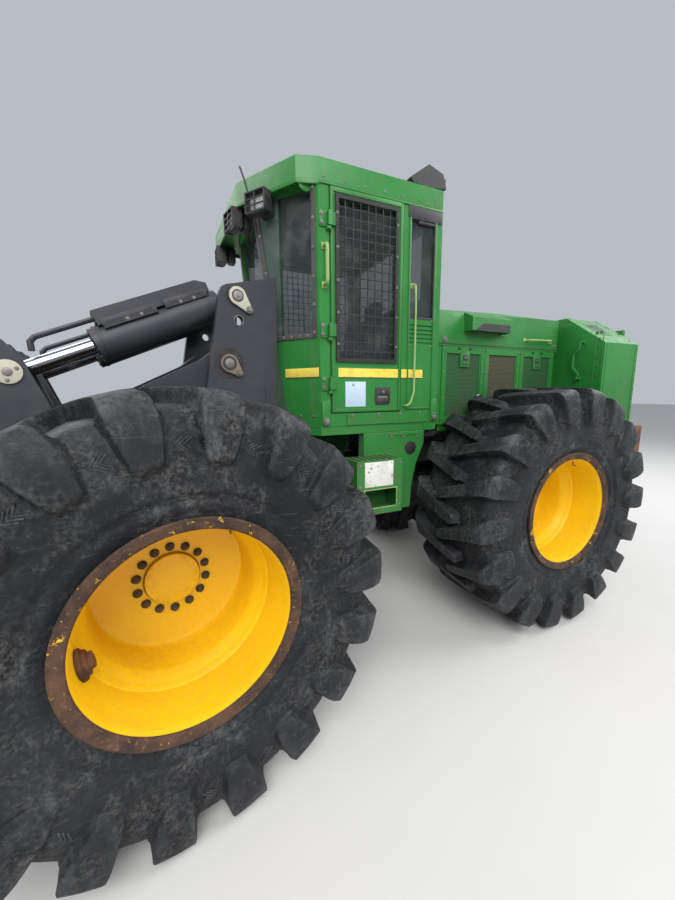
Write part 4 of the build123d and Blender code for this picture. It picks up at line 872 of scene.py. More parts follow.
@dataclass
class Wheels:
    """The four forestry tyres on their deep rims, all of one drawing, about the Y axis, the outside at +Y."""

    radius: float = 0.930
    bars: int = 18
    track: float = 1.098
    rear_x: float = -1.100
    front_x: float = 1.820
    bolt_circle: float = 0.160
    bolt_count: int = 14
    disc: float = -0.1690
    side_face: float = 0.3520
    # offset from the wheel's middle, radius: bead, sidewall, shoulder, middle of the tread
    carcass: tuple = (
        (0.329, 0.440), (0.330, 0.460), (0.336, 0.474), (0.343, 0.486), (0.347, 0.497), (0.348, 0.508),
        (0.343, 0.516), (0.344, 0.524), (0.351, 0.545), (0.355, 0.549), (0.356, 0.556), (0.357, 0.575),
        (0.358, 0.612), (0.357, 0.650), (0.355, 0.690), (0.352, 0.726), (0.346, 0.762), (0.335, 0.800),
        (0.318, 0.830), (0.295, 0.848), (0.268, 0.857), (0.22, 0.861), (0.12, 0.863), (0.0, 0.864))
    # of a tread bar: offset and radius of its top and of its foot, half widths of both, lead in degrees
    bar_rows: tuple = (
        (0.3840, 0.668, 0.350, 0.634, 0.048, 0.066, 0.0), (0.3885, 0.682, 0.350, 0.660, 0.064, 0.086, 0.0),
        (0.3895, 0.708, 0.349, 0.694, 0.072, 0.097, 0.0), (0.3895, 0.745, 0.344, 0.730, 0.078, 0.106, 0.0),
        (0.3885, 0.790, 0.333, 0.772, 0.083, 0.115, 0.1), (0.3830, 0.845, 0.318, 0.812, 0.086, 0.119, 0.3),
        (0.3740, 0.888, 0.302, 0.834, 0.083, 0.116, 0.6), (0.3570, 0.913, 0.285, 0.843, 0.075, 0.104, 1.0),
        (0.3250, 0.925, 0.258, 0.848, 0.063, 0.088, 1.9), (0.2600, 0.928, 0.218, 0.851, 0.052, 0.073, 3.4),
        (0.1700, 0.929, 0.150, 0.852, 0.046, 0.065, 5.3), (0.0800, 0.930, 0.075, 0.853, 0.044, 0.062, 7.1),
        (0.0000, 0.930, 0.000, 0.853, 0.043, 0.061, 8.7), (-0.0550, 0.930, -0.060, 0.853, 0.041, 0.060, 9.8),
        (-0.0760, 0.929, -0.090, 0.853, 0.033, 0.052, 10.3),
        (-0.0860, 0.926, -0.104, 0.853, 0.019, 0.034, 10.6))
    # of a bar's flank, from its foot: share of the height, share of the way from foot's to top's width
    flank: tuple = ((0.0, 0.0), (0.30, 0.62), (0.62, 0.84), (0.93, 0.97), (1.0, 1.13))
    # radius, offset: the dish from its outer lip to the middle of the disc, and its back
    dish_face: tuple = (
        (0.404, 0.329), (0.3995, 0.318), (0.3975, 0.29), (0.3955, 0.14), (0.3945, 0.098), (0.388, 0.088),
        (0.384, 0.072), (0.378, 0.058), (0.356, 0.022), (0.3525, 0.006), (0.3520, -0.120), (0.3500, -0.150),
        (0.3440, -0.162), (0.3320, -0.1655), (0.3250, -0.1690), (0.1340, -0.1690), (0.1310, -0.1650),
        (0.1290, -0.1640), (0.1275, -0.1690), (0.1260, -0.1690), (0.1250, -0.1480), (0.1230, -0.1452),
        (0.1200, -0.1445), (0.0, -0.1440))
    dish_back: tuple = (
        (0.0, -0.362), (0.150, -0.362), (0.182, -0.350), (0.190, -0.330), (0.190, -0.190), (0.205, -0.187),
        (0.345, -0.187), (0.360, -0.205), (0.392, -0.250), (0.394, -0.332), (0.412, -0.341), (0.446, -0.343),
        (0.450, -0.338), (0.450, -0.331), (0.406, -0.330), (0.404, -0.20), (0.402, 0.331))
    flange: tuple = (
        (0.401, 0.331), (0.4035, 0.331), (0.4055, 0.338), (0.412, 0.3425), (0.432, 0.3445), (0.446, 0.3475),
        (0.4515, 0.3440), (0.4525, 0.338), (0.4500, 0.3315))
    # radius, offset: a dark ring laid in the gap round the cover, painted shade of that gap
    gap_shade_ring: tuple = ((0.1265, -0.1700), (0.1310, -0.1700), (0.1315, -0.1645), (0.1260, -0.1645),
                     (0.1265, -0.1700))

    def places(self) -> dict[str, Matrix]:
        """Body to the matrix of each wheel."""
        made = {}
        for end, half, x in (("front", Half.FRONT, self.front_x), ("rear", Half.REAR, self.rear_x)):
            for side, y, turn in (("left", self.track, 0.0), ("right", -self.track, math.pi)):
                spot = Matrix.Translation((x, y, self.radius)) @ Matrix.Rotation(turn, 4, "Z")
                made[f"wheel_{end}_{side}"] = LAYOUT.matrix(half) @ spot
        return made

    def hang(self, piece: Piece, sharp: float = 30.0, slot: Optional[str] = None, node: str = "",
             only: str = "") -> None:
        """Puts a piece on the wheels.

        Args:
            piece: the piece, about the wheel's own axis.
            sharp: edges that turn by more degrees stay crisp.
            slot: the record's material slot; not used.
            node: start of the names of the nodes that it stands for, if any.
            only: what the name of a wheel's body has to hold.
        """
        places = {body: spot for body, spot in self.places().items() if only in body}
        piece.put("", [body.replace("wheel", node) for body in places] if node else (), slot, sharp, places)

    def around(self, turn: float, offset: float, radius: float) -> Vector:
        """A point of the wheel from its turn in degrees, offset and radius."""
        angle = math.radians(turn)
        return Vector((radius * math.cos(angle), offset, radius * math.sin(angle)))

    def bar_ring(self, row: Sequence[float], turn: float, side: int, sense: int) -> list[Vector]:
        """The section of a tread bar at one station, from foot to foot; sense is the way the bars lean."""
        top_y, top_r, foot_y, foot_r, top_w, foot_w, lead = row
        section = [(rise, foot_w + (top_w - foot_w) * narrow) for rise, narrow in self.flank]
        whole = [(rise, -width) for rise, width in section] + [(1.01, 0.0)] + section[::-1]
        ring = []
        for rise, width in whole:
            y, r = foot_y + (top_y - foot_y) * rise, foot_r + (top_r - foot_r) * rise
            ring.append(self.around(turn + sense * lead + math.degrees(width / self.radius), side * y, r))
        return ring

    def tyre(self, name: str, sense: int) -> None:
        """Turns the carcass and sets the tread bars and the chevrons between them on both sides.

        Args:
            name: the side of the machine, left or right.
            sense: way that the bars lean, so that all four tyres roll the same way.
        """
        piece = Piece(f"tyre_{name}", RUBBER)
        profile = [(r, y) for y, r in self.carcass] + [(r, -y) for y, r in self.carcass[-2::-1]]
        piece.spin(profile, steps=144)
        for side in (1, -1):
            for i in range(self.bars):
                turn = (i if side > 0 else i + 0.5) * 360 / self.bars
                rings = [self.bar_ring(row, turn, side, sense) for row in self.bar_rows]
                piece.loft(rings, closed=False, capped=False)
                for end in (rings[0], rings[-1][::-1]):
                    piece.mesh.faces.new([piece.mesh.verts.new(p) for p in end])
                self.chevrons(piece, turn + 180 / self.bars, side, sense)
        bmesh.ops.remove_doubles(piece.mesh, verts=piece.mesh.verts[:], dist=0.0004)
        self.hang(piece, 40.0, "tyre_rubber", "tyre", name)

    def chevrons(self, piece: Piece, turn: float, side: int, sense: int, low: float = 0.728) -> None:
        """Three moulded arrow ribs on the sidewall between two tread bars, their tips at the radius low."""
        for step in (-1, 0, 1):
            middle = turn + step * 1.25
            for slope in (1, -1):
                start = self.around(middle + sense * 1.2, side * (self.side_face - 0.001), low)
                y = side * (self.side_face - slope * 0.0022)
                stop = self.around(middle - sense * 1.2, y, low + slope * 0.024)
                piece.tube([start, stop], 0.0036, sides=6)

    def rim(self) -> None:
        """Turns the yellow dish with its step, disc and cover, and the rusty flange."""
        dish = Piece("rim", YELLOW)
        dish.spin(self.dish_face, steps=96)
        dish.spin(self.dish_back, steps=96)
        dish.bar((0, -0.1445, 0), (0, -0.1425, 0), 0.004, 10)
        self.hang(dish, 30.0, "wheel_paint", "rim")
        self.hang(Piece("rim_flange", FLANGE).spin(self.flange, steps=96), 40.0, "rusty_steel")

    def fittings(self) -> None:
        """Sets the bolts round the cover with a dark ring of painted shade in the gap round it, the rusty plug of
        the front rims and the valve.
        """
        bolts = Piece("wheel_bolts", BOLT_DARK)
        for i in range(self.bolt_count):
            spot = self.around(360 * (i + 0.5) / self.bolt_count, self.disc, self.bolt_circle)
            for height, radius, sides, bevel in ((0.006, 0.0220, 20, 0.002), (0.020, 0.0175, 6, 0.0025),
                                                 (0.026, 0.0095, 12, 0.002)):
                bolts.bar(spot, spot + Vector((0, height, 0)), radius, sides, bevel)
        # the dark ring in the gap round the cover is painted shade
        self.hang(bolts.spin(self.gap_shade_ring, steps=64))
        plug = Piece("rim_plug", RUST)
        spot, inward = self.around(346, 0.150, 0.396), -self.around(346, 0.0, 1.0)
        for height, radius, sides, bevel in ((0.020, 0.062, 28, 0.006), (0.034, 0.050, 28, 0.006),
                                             (0.052, 0.034, 8, 0.005)):
            plug.bar(spot, spot + inward * height, radius, sides, bevel)
        self.hang(plug, only="front")
        route = [self.around(120, y, r) for y, r in ((0.200, 0.397), (0.205, 0.372), (0.235, 0.365))]
        self.hang(Piece("tyre_valve", STEEL).tube(route, 0.005, 0.01, 8))

    def build(self) -> None:
        """Builds tyres and rims."""
        self.tyre("left", -1)
        self.tyre("right", 1)
        self.rim()
        self.fittings()


@dataclass
class Joinery:
    """Nodes whose folded plates and castings get rounded edges."""

    # node and width of its rounding in tenths of a millimetre, in turn
    widths: str = ("cab_body 60 cab_roof 80 cab_door 50 hood 80 radiator_box 80 side_tanks 80 "
                   "side_screens 30 rear_door 30 front_frame 40 boom 60 head_adapter 50 head_frame 50 "
                   "saw_housing 50 harvest_arm 60 accumulator_arm 60 rear_frame 40 rear_axle 80 "
                   "front_axle 80 tilt_barrels 30 lift_barrels 40 lift_rods 30 tilt_rods 30 "
                   "seat_base 120 rear_bumper 80 work_lamps 20 engine_block 150 steer_barrel_left 30 "
                   "steer_barrel_right 30 cab_floor 30 door_guard 12 saw_disc 30")

    def build(self) -> None:
        """Rounds each node of the table on its own body."""
        bodies = frame["record"]["behaviour"]["bodies"]
        owner = {node: body for body, names in bodies.items() for node in names}
        entries = self.widths.split()
        for node, width in zip(entries[::2], entries[1::2]):
            Softened(node, owner[node], int(width) / 10000).build()


@dataclass
class CabTrim:
    """The cab's trim: corner glass, seals, stripe, hinges, door hardware, guards, lining, roof and rails."""

    half_width: float = 0.750
    corner_x: float = 0.640
    corner_run: tuple[float, float] = (0.5796, -0.8149)     # along the corner wall from its side edge
    eaves: float = 3.160
    glass_span: tuple[float, float] = (0.045, 0.335)
    glass_z: tuple[float, float] = (2.225, 3.138)
    window_x: tuple[float, float] = (0.045, 0.510)
    window_z: tuple[float, float] = (2.058, 3.092)
    quarter_x: tuple[float, float] = (-0.295, -0.085)
    quarter_z: tuple[float, float] = (2.390, 3.095)
    stripe_z: tuple[float, float] = (1.940, 2.002)
    knuckles: tuple[float, float, float] = (1.850, 2.205, 2.900)
    mounts_x: tuple[float, float] = (0.605, -0.330)
    # x, y and turn of each hung lamp
    lamp_places: tuple = ((0.952, 0.475, 35.0), (1.066, 0.150, 12.0), (1.066, -0.600, 0.0))

    def corner(self, along: float, out: float, z: float, side: int = 1) -> Vector:
        """A point on the corner wall, from its distance along it and out of it."""
        run_x, run_y = self.corner_run
        x, y = run_x * along - run_y * out, run_y * along + run_x * out
        return Vector((self.corner_x + x, side * (self.half_width + y), z))

    def corner_strip(self, piece: Piece, span: Point, z: Point, out: float, side: int,
                     inward: float = 0.001) -> None:
        """A flat strip on the corner wall, from its span along it, its heights, and its reach out and in."""
        corners = zip((*span, *span[::-1]), (out, out, -inward, -inward))
        plan = [self.corner(s, d, 0.0, side) for s, d in corners]
        piece.plate([(p.x, p.y) for p in plan], Axis.Z, *z, 0.0015)

    def pillar(self, z: float) -> float:
        """How far along the corner wall its front edge stands at a height."""
        return 0.276 + 0.276 * (z - 1.590) / 1.570

    def corner_glass(self) -> None:
        """The dark frame strips round the corner glass, their bolts and the tinted pane up to the pillar, whose
        pale blue-grey is partly a painted reflection.
        """
        strips, bolts = Piece("corner_glass_frame", STRIP_GREY), Piece("corner_glass_bolts", STEEL)
        pane = Piece("corner_panes", PANE)
        (start, stop), (low, high) = self.glass_span, self.glass_z
        for side in (1, -1):
            inner, foot = start + 0.010, self.pillar(low) - 0.030
            self.corner_strip(strips, (start - 0.022, inner), (low - 0.025, high + 0.008), 0.006, side, 0.004)
            self.corner_strip(strips, (inner, foot), (low - 0.025, low + 0.010), 0.006, side, 0.004)
            head = self.pillar(high) - 0.030
            rim = ((stop - 0.012, low + 0.010), (foot, low + 0.010), (head, high), (stop - 0.012, high))
            pane.loft([[self.corner(s, d, z, side) for s, z in rim] for d in (-0.001, 0.003)])
            section = ((0.036, -0.001), (0.036, 0.008), (0.010, 0.008), (0.010, -0.001))
            strips.loft([[self.corner(self.pillar(z) - wide, d, z, side) for wide, d in section]
                         for z in (low - 0.025, high + 0.008)])
            front = []
            for z in (low - 0.025, high):
                x, y = 0.800 + 0.160 * (z - 1.590) / 1.570, side * (0.750 - 0.8149 * self.pillar(z))
                section = ((0.005, -0.004), (0.005, 0.046), (-0.002, 0.046), (-0.002, -0.004))
                front.append([(x + dx, y - side * dy, z) for dx, dy in section])
            strips.loft(front)
            out = self.corner(0, 1, 0, side) - self.corner(0, 0, 0, side)
            heights = [low + 0.01 + i * (high - low - 0.02) / 5 for i in range(6)]
            bolts.bolts((self.corner(start - 0.006, 0.006, z, side) for z in heights), out, 0.010, 0.008)
            heights = [low + 0.20 + i * 0.25 for i in range(3)]
            spots = [self.corner(self.pillar(z) - 0.023, 0.008, z, side) for z in heights]
            bolts.bolts(spots, out, 0.009, 0.007)
            spans = [start + 0.05 + i * 0.068 for i in range(4)]
            bolts.bolts((self.corner(s, 0.006, low - 0.008, side) for s in spans), out, 0.009, 0.007)
        put_all("rear_half", strips, bolts, pane)

    def seals(self) -> None:
        """Black rubber round the side, quarter and rear windows and the door gap."""
        seal, door = Piece("window_seals", PLASTIC), Piece("door_seal", PLASTIC)
        y, bevel = self.half_width, 0.003
        for side in (1, -1):
            depth = (side * (y - 0.024), side * (y + 0.0035))
            self.window_ring(seal, self.quarter_x, self.quarter_z, *depth, 0.014)
        self.window_ring(seal, self.window_x, self.window_z, -(y - 0.026), -(y + 0.004), 0.016)
        for z in ((2.560, 2.576), (3.089, 3.105)):
            seal.slab((-0.369, -0.574, z[0]), (-0.341, 0.574, z[1]), bevel)
        for y0 in (-0.574, 0.559):
            seal.slab((-0.369, y0, 2.576), (-0.341, y0 + 0.015, 3.089), bevel)
        self.window_ring(door, (0.010, 0.536), (1.712, 3.128), y - 0.046, y - 0.056, 0.018)
        put_all("rear_half", seal)
        put_all("door", door)

    def window_ring(self, piece: Piece, x: Point, z: Point, near: float, far: float, width: float) -> None:
        """Four strips round an upright opening in a side wall, which lap 2 mm over its edge."""
        low, high = sorted((near, far))
        piece.ring((x[0] - width, low, z[0] - width), (x[1] + width, high, z[1] + width), width + 0.002,
                   Axis.X, Axis.Z, 0.003)

    def stripe(self) -> None:
        """The yellow band, left bare, on the corner walls, door and panel behind it, and its dark edge."""
        low, high = self.stripe_z
        y = self.half_width
        # names of both pieces, finish, heights, how far they stand out of the walls and of the door
        for wall_name, door_name, finish, z, out, door_out in (
                ("stripe", "door_stripe", STRIPE, (low, high), 0.002, 0.0040),
                ("stripe_shadow_line", "door_shadow_line", PLASTIC, (low - 0.007, low), 0.0018, 0.0038)):
            wall, door = Piece(wall_name, finish), Piece(door_name, finish)
            for side in (1, -1):
                self.corner_strip(wall, (0.012, 0.300), z, out, side)
            wall.wall(1, (-0.215, -0.020), (y - 0.001, y + out), z)
            wall.wall(-1, (-0.215, 0.510), (y - 0.001, y + out), z)
            door.wall(1, (-0.008, 0.505), (y + 0.001, y + door_out), z)
            put_all("rear_half", wall)
            put_all("door", door)

    def hinge_column(self) -> None:
        """The feet of the posts beside the door, the hinge leaves with their bolts, and the rusty mounts."""
        post, worn = Piece("hinge_post", GREEN), Piece("hinge_leaves", GREEN)
        bolts, rust = Piece("hinge_bolts", STEEL), Piece("mount_rust", RUST)
        y = self.half_width
        for z in self.knuckles:
            worn.wall(1, (0.578, 0.634), (y - 0.002, y + 0.010), (z - 0.006, z + 0.092), 0.003)
            bolts.bolts(((0.622, y + 0.010, z + dz) for dz in (0.018, 0.070)), (0, 1, 0), 0.010, 0.008)
        for x0, x1 in ((0.574, 0.636), (-0.360, -0.300)):
            foot = ((x0, 1.615), (x0 + 0.008, 1.600), (x1 - 0.008, 1.600), (x1, 1.615), (x1, 1.760),
                    (x1 - 0.012, 1.776), (x0 + 0.012, 1.776), (x0, 1.760))
            for side in (1, -1):
                post.plate(foot, Axis.Y, *sorted((side * (y - 0.002), side * (y + 0.014))), 0.004)
        for side in (1, -1):
            for x in self.mounts_x:
                worn.wall(side, (x - 0.024, x + 0.024), (y + 0.012, y + 0.018), (1.606, 1.668), 0.003)
                bolts.bolt((x, side * (y + 0.018), 1.632), (0, side, 0), 0.017, 0.014)
                rust.disc(x, 1.632, side * (y + 0.015), side * (y + 0.0195), 0.026, 20, 0.001)
        put_all("rear_half", post, worn, bolts, rust)

    def door_dress(self) -> None:
        """The door's pressed rim, recessed latch, lock and blank label."""
        y = self.half_width + 0.002
        rim, latch, lock = Piece("door_rim", GREEN), Piece("door_latch", PLASTIC), Piece("door_lock", STEEL)
        label = Piece("blank_label", PAPER_BLUE)
        plate = ((0.080, 1.756), (0.092, 1.740), (0.198, 1.740), (0.210, 1.756), (0.210, 1.868),
                 (0.080, 1.868))
        latch.plate(plate, Axis.Y, y - 0.001, y + 0.006, 0.003)
        lock.disc(0.145, 1.834, y + 0.010, y + 0.016, 0.011, 20, 0.002)
        # x, depth from the door's face, z, bevel
        for piece, x, depth, z, bevel in (
                (rim, (-0.010, 0.012), (-0.001, 0.007), (1.694, 3.146), 0.003),
                (rim, (0.534, 0.556), (-0.001, 0.007), (1.694, 3.146), 0.003),
                (rim, (0.012, 0.534), (-0.001, 0.007), (3.116, 3.146), 0.003),
                (rim, (0.012, 0.534), (-0.001, 0.005), (1.694, 1.716), 0.002),
                (latch, (0.094, 0.196), (0.004, 0.012), (1.812, 1.856), 0.004),
                (latch, (0.098, 0.192), (0.004, 0.008), (1.754, 1.780), 0.003),
                (lock, (0.106, 0.184), (0.002, 0.0065), (1.786, 1.804), 0.002),
                (label, (0.288, 0.452), (0.0004, 0.0014), (1.730, 1.908), 0.0004)):
            piece.wall(1, x, (y + depth[0], y + depth[1]), z, bevel)
        put_all("door", rim, latch, lock, label)

    def guards(self) -> None:
        """The bolts of the door's guard and the bars of the guard on the right window."""
        (x0, x1), (z0, z1) = self.window_x, self.window_z
        bolts, right = Piece("guard_bolts", STEEL), Piece("right_window_guard", BLACK)
        y, far = self.half_width + 0.002, -(self.half_width + 0.004)
        for i in range(5):
            z = z0 + (i + 0.5) * (z1 - z0) / 5
            bolts.bolts(((x0 - 0.001, y + 0.016, z), (x1 + 0.001, y + 0.016, z)), (0, 1, 0), 0.007, 0.006)
        right.row(9, ((x1 - x0) / 8, 0, 0), (x0 - 0.004, far - 0.011, z0 - 0.010),
                  (x0 + 0.004, far - 0.002, z1 + 0.010), 0.001)
        right.row(18, (0, 0, (z1 - z0) / 17), (x0 - 0.010, far - 0.010, z0 - 0.003),
                  (x1 + 0.010, far - 0.003, z0 + 0.003))
        put_all("door", bolts)
        put_all("rear_half", right)

    def lining(self) -> None:
        """Dark lining inside the cab's walls, roof and door, and the floor mat."""
        dark, leaf = Piece("cab_lining", BLACK), Piece("door_lining", BLACK)
        sheet, thin = (0.695, 0.7045), 0.002
        # side, x, z of the sheets on the side walls
        for side, x, z in ((1, (-0.315, -0.030), (1.605, 2.036)), (1, (-0.076, -0.030), (2.040, 3.140)),
                           (1, (-0.315, -0.030), (3.102, 3.190)), (-1, (-0.315, 0.620), (1.605, 2.036)),
                           (-1, (-0.076, 0.026), (2.040, 3.140)), (-1, (-0.315, 0.620), (3.102, 3.190)),
                           (1, (-0.315, -0.080), (2.040, 2.376)), (-1, (0.524, 0.620), (2.040, 3.100))):
            dark.wall(side, x, sheet, z, thin)
        # x, z of the sheets from wall to wall: back, roof, floor
        for x, z in (((-0.3190, -0.3100), (1.605, 2.552)), ((-0.310, 0.600), (3.200, 3.212)),
                     ((-0.310, 0.600), (1.5925, 1.6020))):
            dark.slab((x[0], -0.690, z[0]), (x[1], 0.690, z[1]), thin)
        leaf.wall(1, (0.008, 0.544), (0.694, 0.7045), (1.702, 2.034), thin)
        leaf.wall(1, (0.060, 0.490), (0.682, 0.6945), (1.760, 1.960), 0.006)
        put_all("rear_half", dark)
        put_all("door", leaf)

    def panels(self) -> None:
        """Sill bolts, the gutter under the roof, upright folds and the louvres' bolts."""
        fold, bolts = Piece("panel_folds", GREEN), Piece("sill_bolts", STEEL)
        y = self.half_width
        for side in (1, -1):
            for x, out, z in (((-0.082, -0.068), 0.007, (1.712, 3.150)),
                              ((-0.312, -0.298), 0.007, (1.712, 3.150)),
                              ((-0.360, 0.630), 0.009, (3.148, 3.162)),
                              ((-0.298, -0.070), 0.009, (1.700, 1.714))):
                fold.wall(side, x, (y - 0.001, y + out), z, 0.003)
            spots = [(x, side * y, z) for z in (2.372, 2.182) for x in (-0.288, -0.092)]
            bolts.bolts(spots, (0, side, 0), 0.007, 0.006)
        bolts.bolts(((x, y + 0.008, 1.668) for x in (-0.190, -0.010, 0.180, 0.400)), (0, 1, 0), 0.009, 0.007)
        out = self.corner(0, 1, 0) - self.corner(0, 0, 0)
        bolts.bolts((self.corner(0.06 + 0.11 * i, 0.0, 1.668) for i in range(3)), out, 0.009, 0.007)
        put_all("rear_half", fold, bolts)

    def roof(self) -> None:
        """The visor's edge strips and arch."""
        trim, top = Piece("visor_edge", GREEN), self.eaves
        edge = ((0.630, 0.757), (0.775, 0.712), (1.062, 0.252), (1.101, -0.720), (0.775, -0.757))
        for start, stop in zip(edge, edge[1:]):
            a, b = Vector((*start, 0)), Vector((*stop, 0))
            along = (b - a).normalized()
            out = Vector((-along.y, along.x, 0))
            plan = [a + out * 0.001, b + out * 0.001, b - out * 0.016, a - out * 0.016]
            trim.plate([(p.x, p.y) for p in plan], Axis.Z, top - 0.022, top + 0.010, 0.003)
        arch = ((0.655, top), (0.668, 3.118), (0.700, 3.098), (0.742, 3.112), (0.768, top))
        trim.plate(arch, Axis.Y, 0.700, 0.712, 0.003)
        trim.put("rear_half")

    def lamps(self) -> None:
        """The lamps with their brackets and lenses, the rear one's guard, the eave box, aerial and bolts."""
        dark, lens = Piece("roof_fittings", PLASTIC), Piece("lamp_lenses", LENS)
        bolts = Piece("roof_bolts", STEEL)
        dark.slab((-0.360, 0.690, 3.062), (-0.055, 0.758, 3.158), 0.012)
        dark.slab((-0.340, 0.700, 3.040), (-0.150, 0.752, 3.066), 0.010)
        dark.tube([(1.000, 0.390, 3.150), (1.030, 0.400, 3.250), (1.060, 0.410, 3.320)], 0.006, 0.02, 8)
        for x, y, turn in self.lamp_places:
            place = Matrix.Translation((x, y, self.eaves - 0.075))
            spot = place @ Matrix.Rotation(math.radians(turn), 4, "Z")
            dark.slab((-0.055, -0.030, 0.050), (0.000, 0.030, 0.086), 0.004, spot)
            dark.slab((-0.110, -0.018, 0.060), (-0.040, 0.018, 0.078), 0.004, spot)
            dark.slab((-0.118, -0.052, -0.058), (-0.056, 0.052, 0.064), 0.010, spot)
            lens.slab((0.0125, -0.066, -0.047), (0.017, 0.066, 0.043), 0.003, spot)
            dark.bar(spot @ Vector((-0.058, 0, -0.002)), spot @ Vector((-0.085, 0, -0.012)), 0.016, 16, 0.003)
        lens.slab((-0.385, 0.640, 3.336), (-0.377, 0.726, 3.390), 0.002)
        dark.row(5, (0, 0, 0.0125), (-0.398, 0.636, 3.338), (-0.389, 0.732, 3.341), 0.001)
        dark.row(6, (0, 0.017, 0), (-0.397, 0.640, 3.330), (-0.390, 0.643, 3.394), 0.001)
        for side in (1, -1):
            spots = [(-0.300 + 0.150 * i, side * 0.7555, 3.190) for i in range(7)]
            bolts.bolts(spots, (0, side, 0), 0.006, 0.004)
        put_all("rear_half", lens, dark, bolts)

    def rails(self) -> None:
        """The worn grab handle with its feet and the long rod behind the door."""
        rails, feet = Piece("grab_rail_tubes", PALE_GREEN), Piece("grab_rail_feet", PALE_GREEN)
        wall = self.half_width - 0.002
        x, low, high, out = 0.603, 2.537, 2.778, self.half_width + 0.058
        rails.tube([(x, wall, high), (x, out, high), (x, out, low), (x, wall, low)], 0.0120, 0.024, 14)
        for z in (low, high):
            feet.wall(1, (0.584, 0.622), (wall, wall + 0.008), (z - 0.022, z + 0.022), 0.003)
        out = self.half_width + 0.040
        route = ((-0.104, wall, 2.608), (-0.104, out, 2.608), (-0.110, out, 2.458), (-0.110, out, 1.828),
                 (-0.078, out, 1.743), (-0.042, out, 1.728), (-0.042, wall, 1.728))
        rails.tube(route, 0.0080, 0.030, 12)
        feet.wall(1, (-0.125, -0.085), (wall, wall + 0.008), (2.590, 2.626), 0.003)
        rails.put("rear_half", ("grab_rails",))
        feet.put("rear_half")

    def build(self) -> None:
        """Builds all of the cab's trim."""
        for step in (self.corner_glass, self.seals, self.stripe, self.hinge_column, self.door_dress,
                     self.guards, self.lining, self.panels, self.roof, self.lamps, self.rails):
            step()


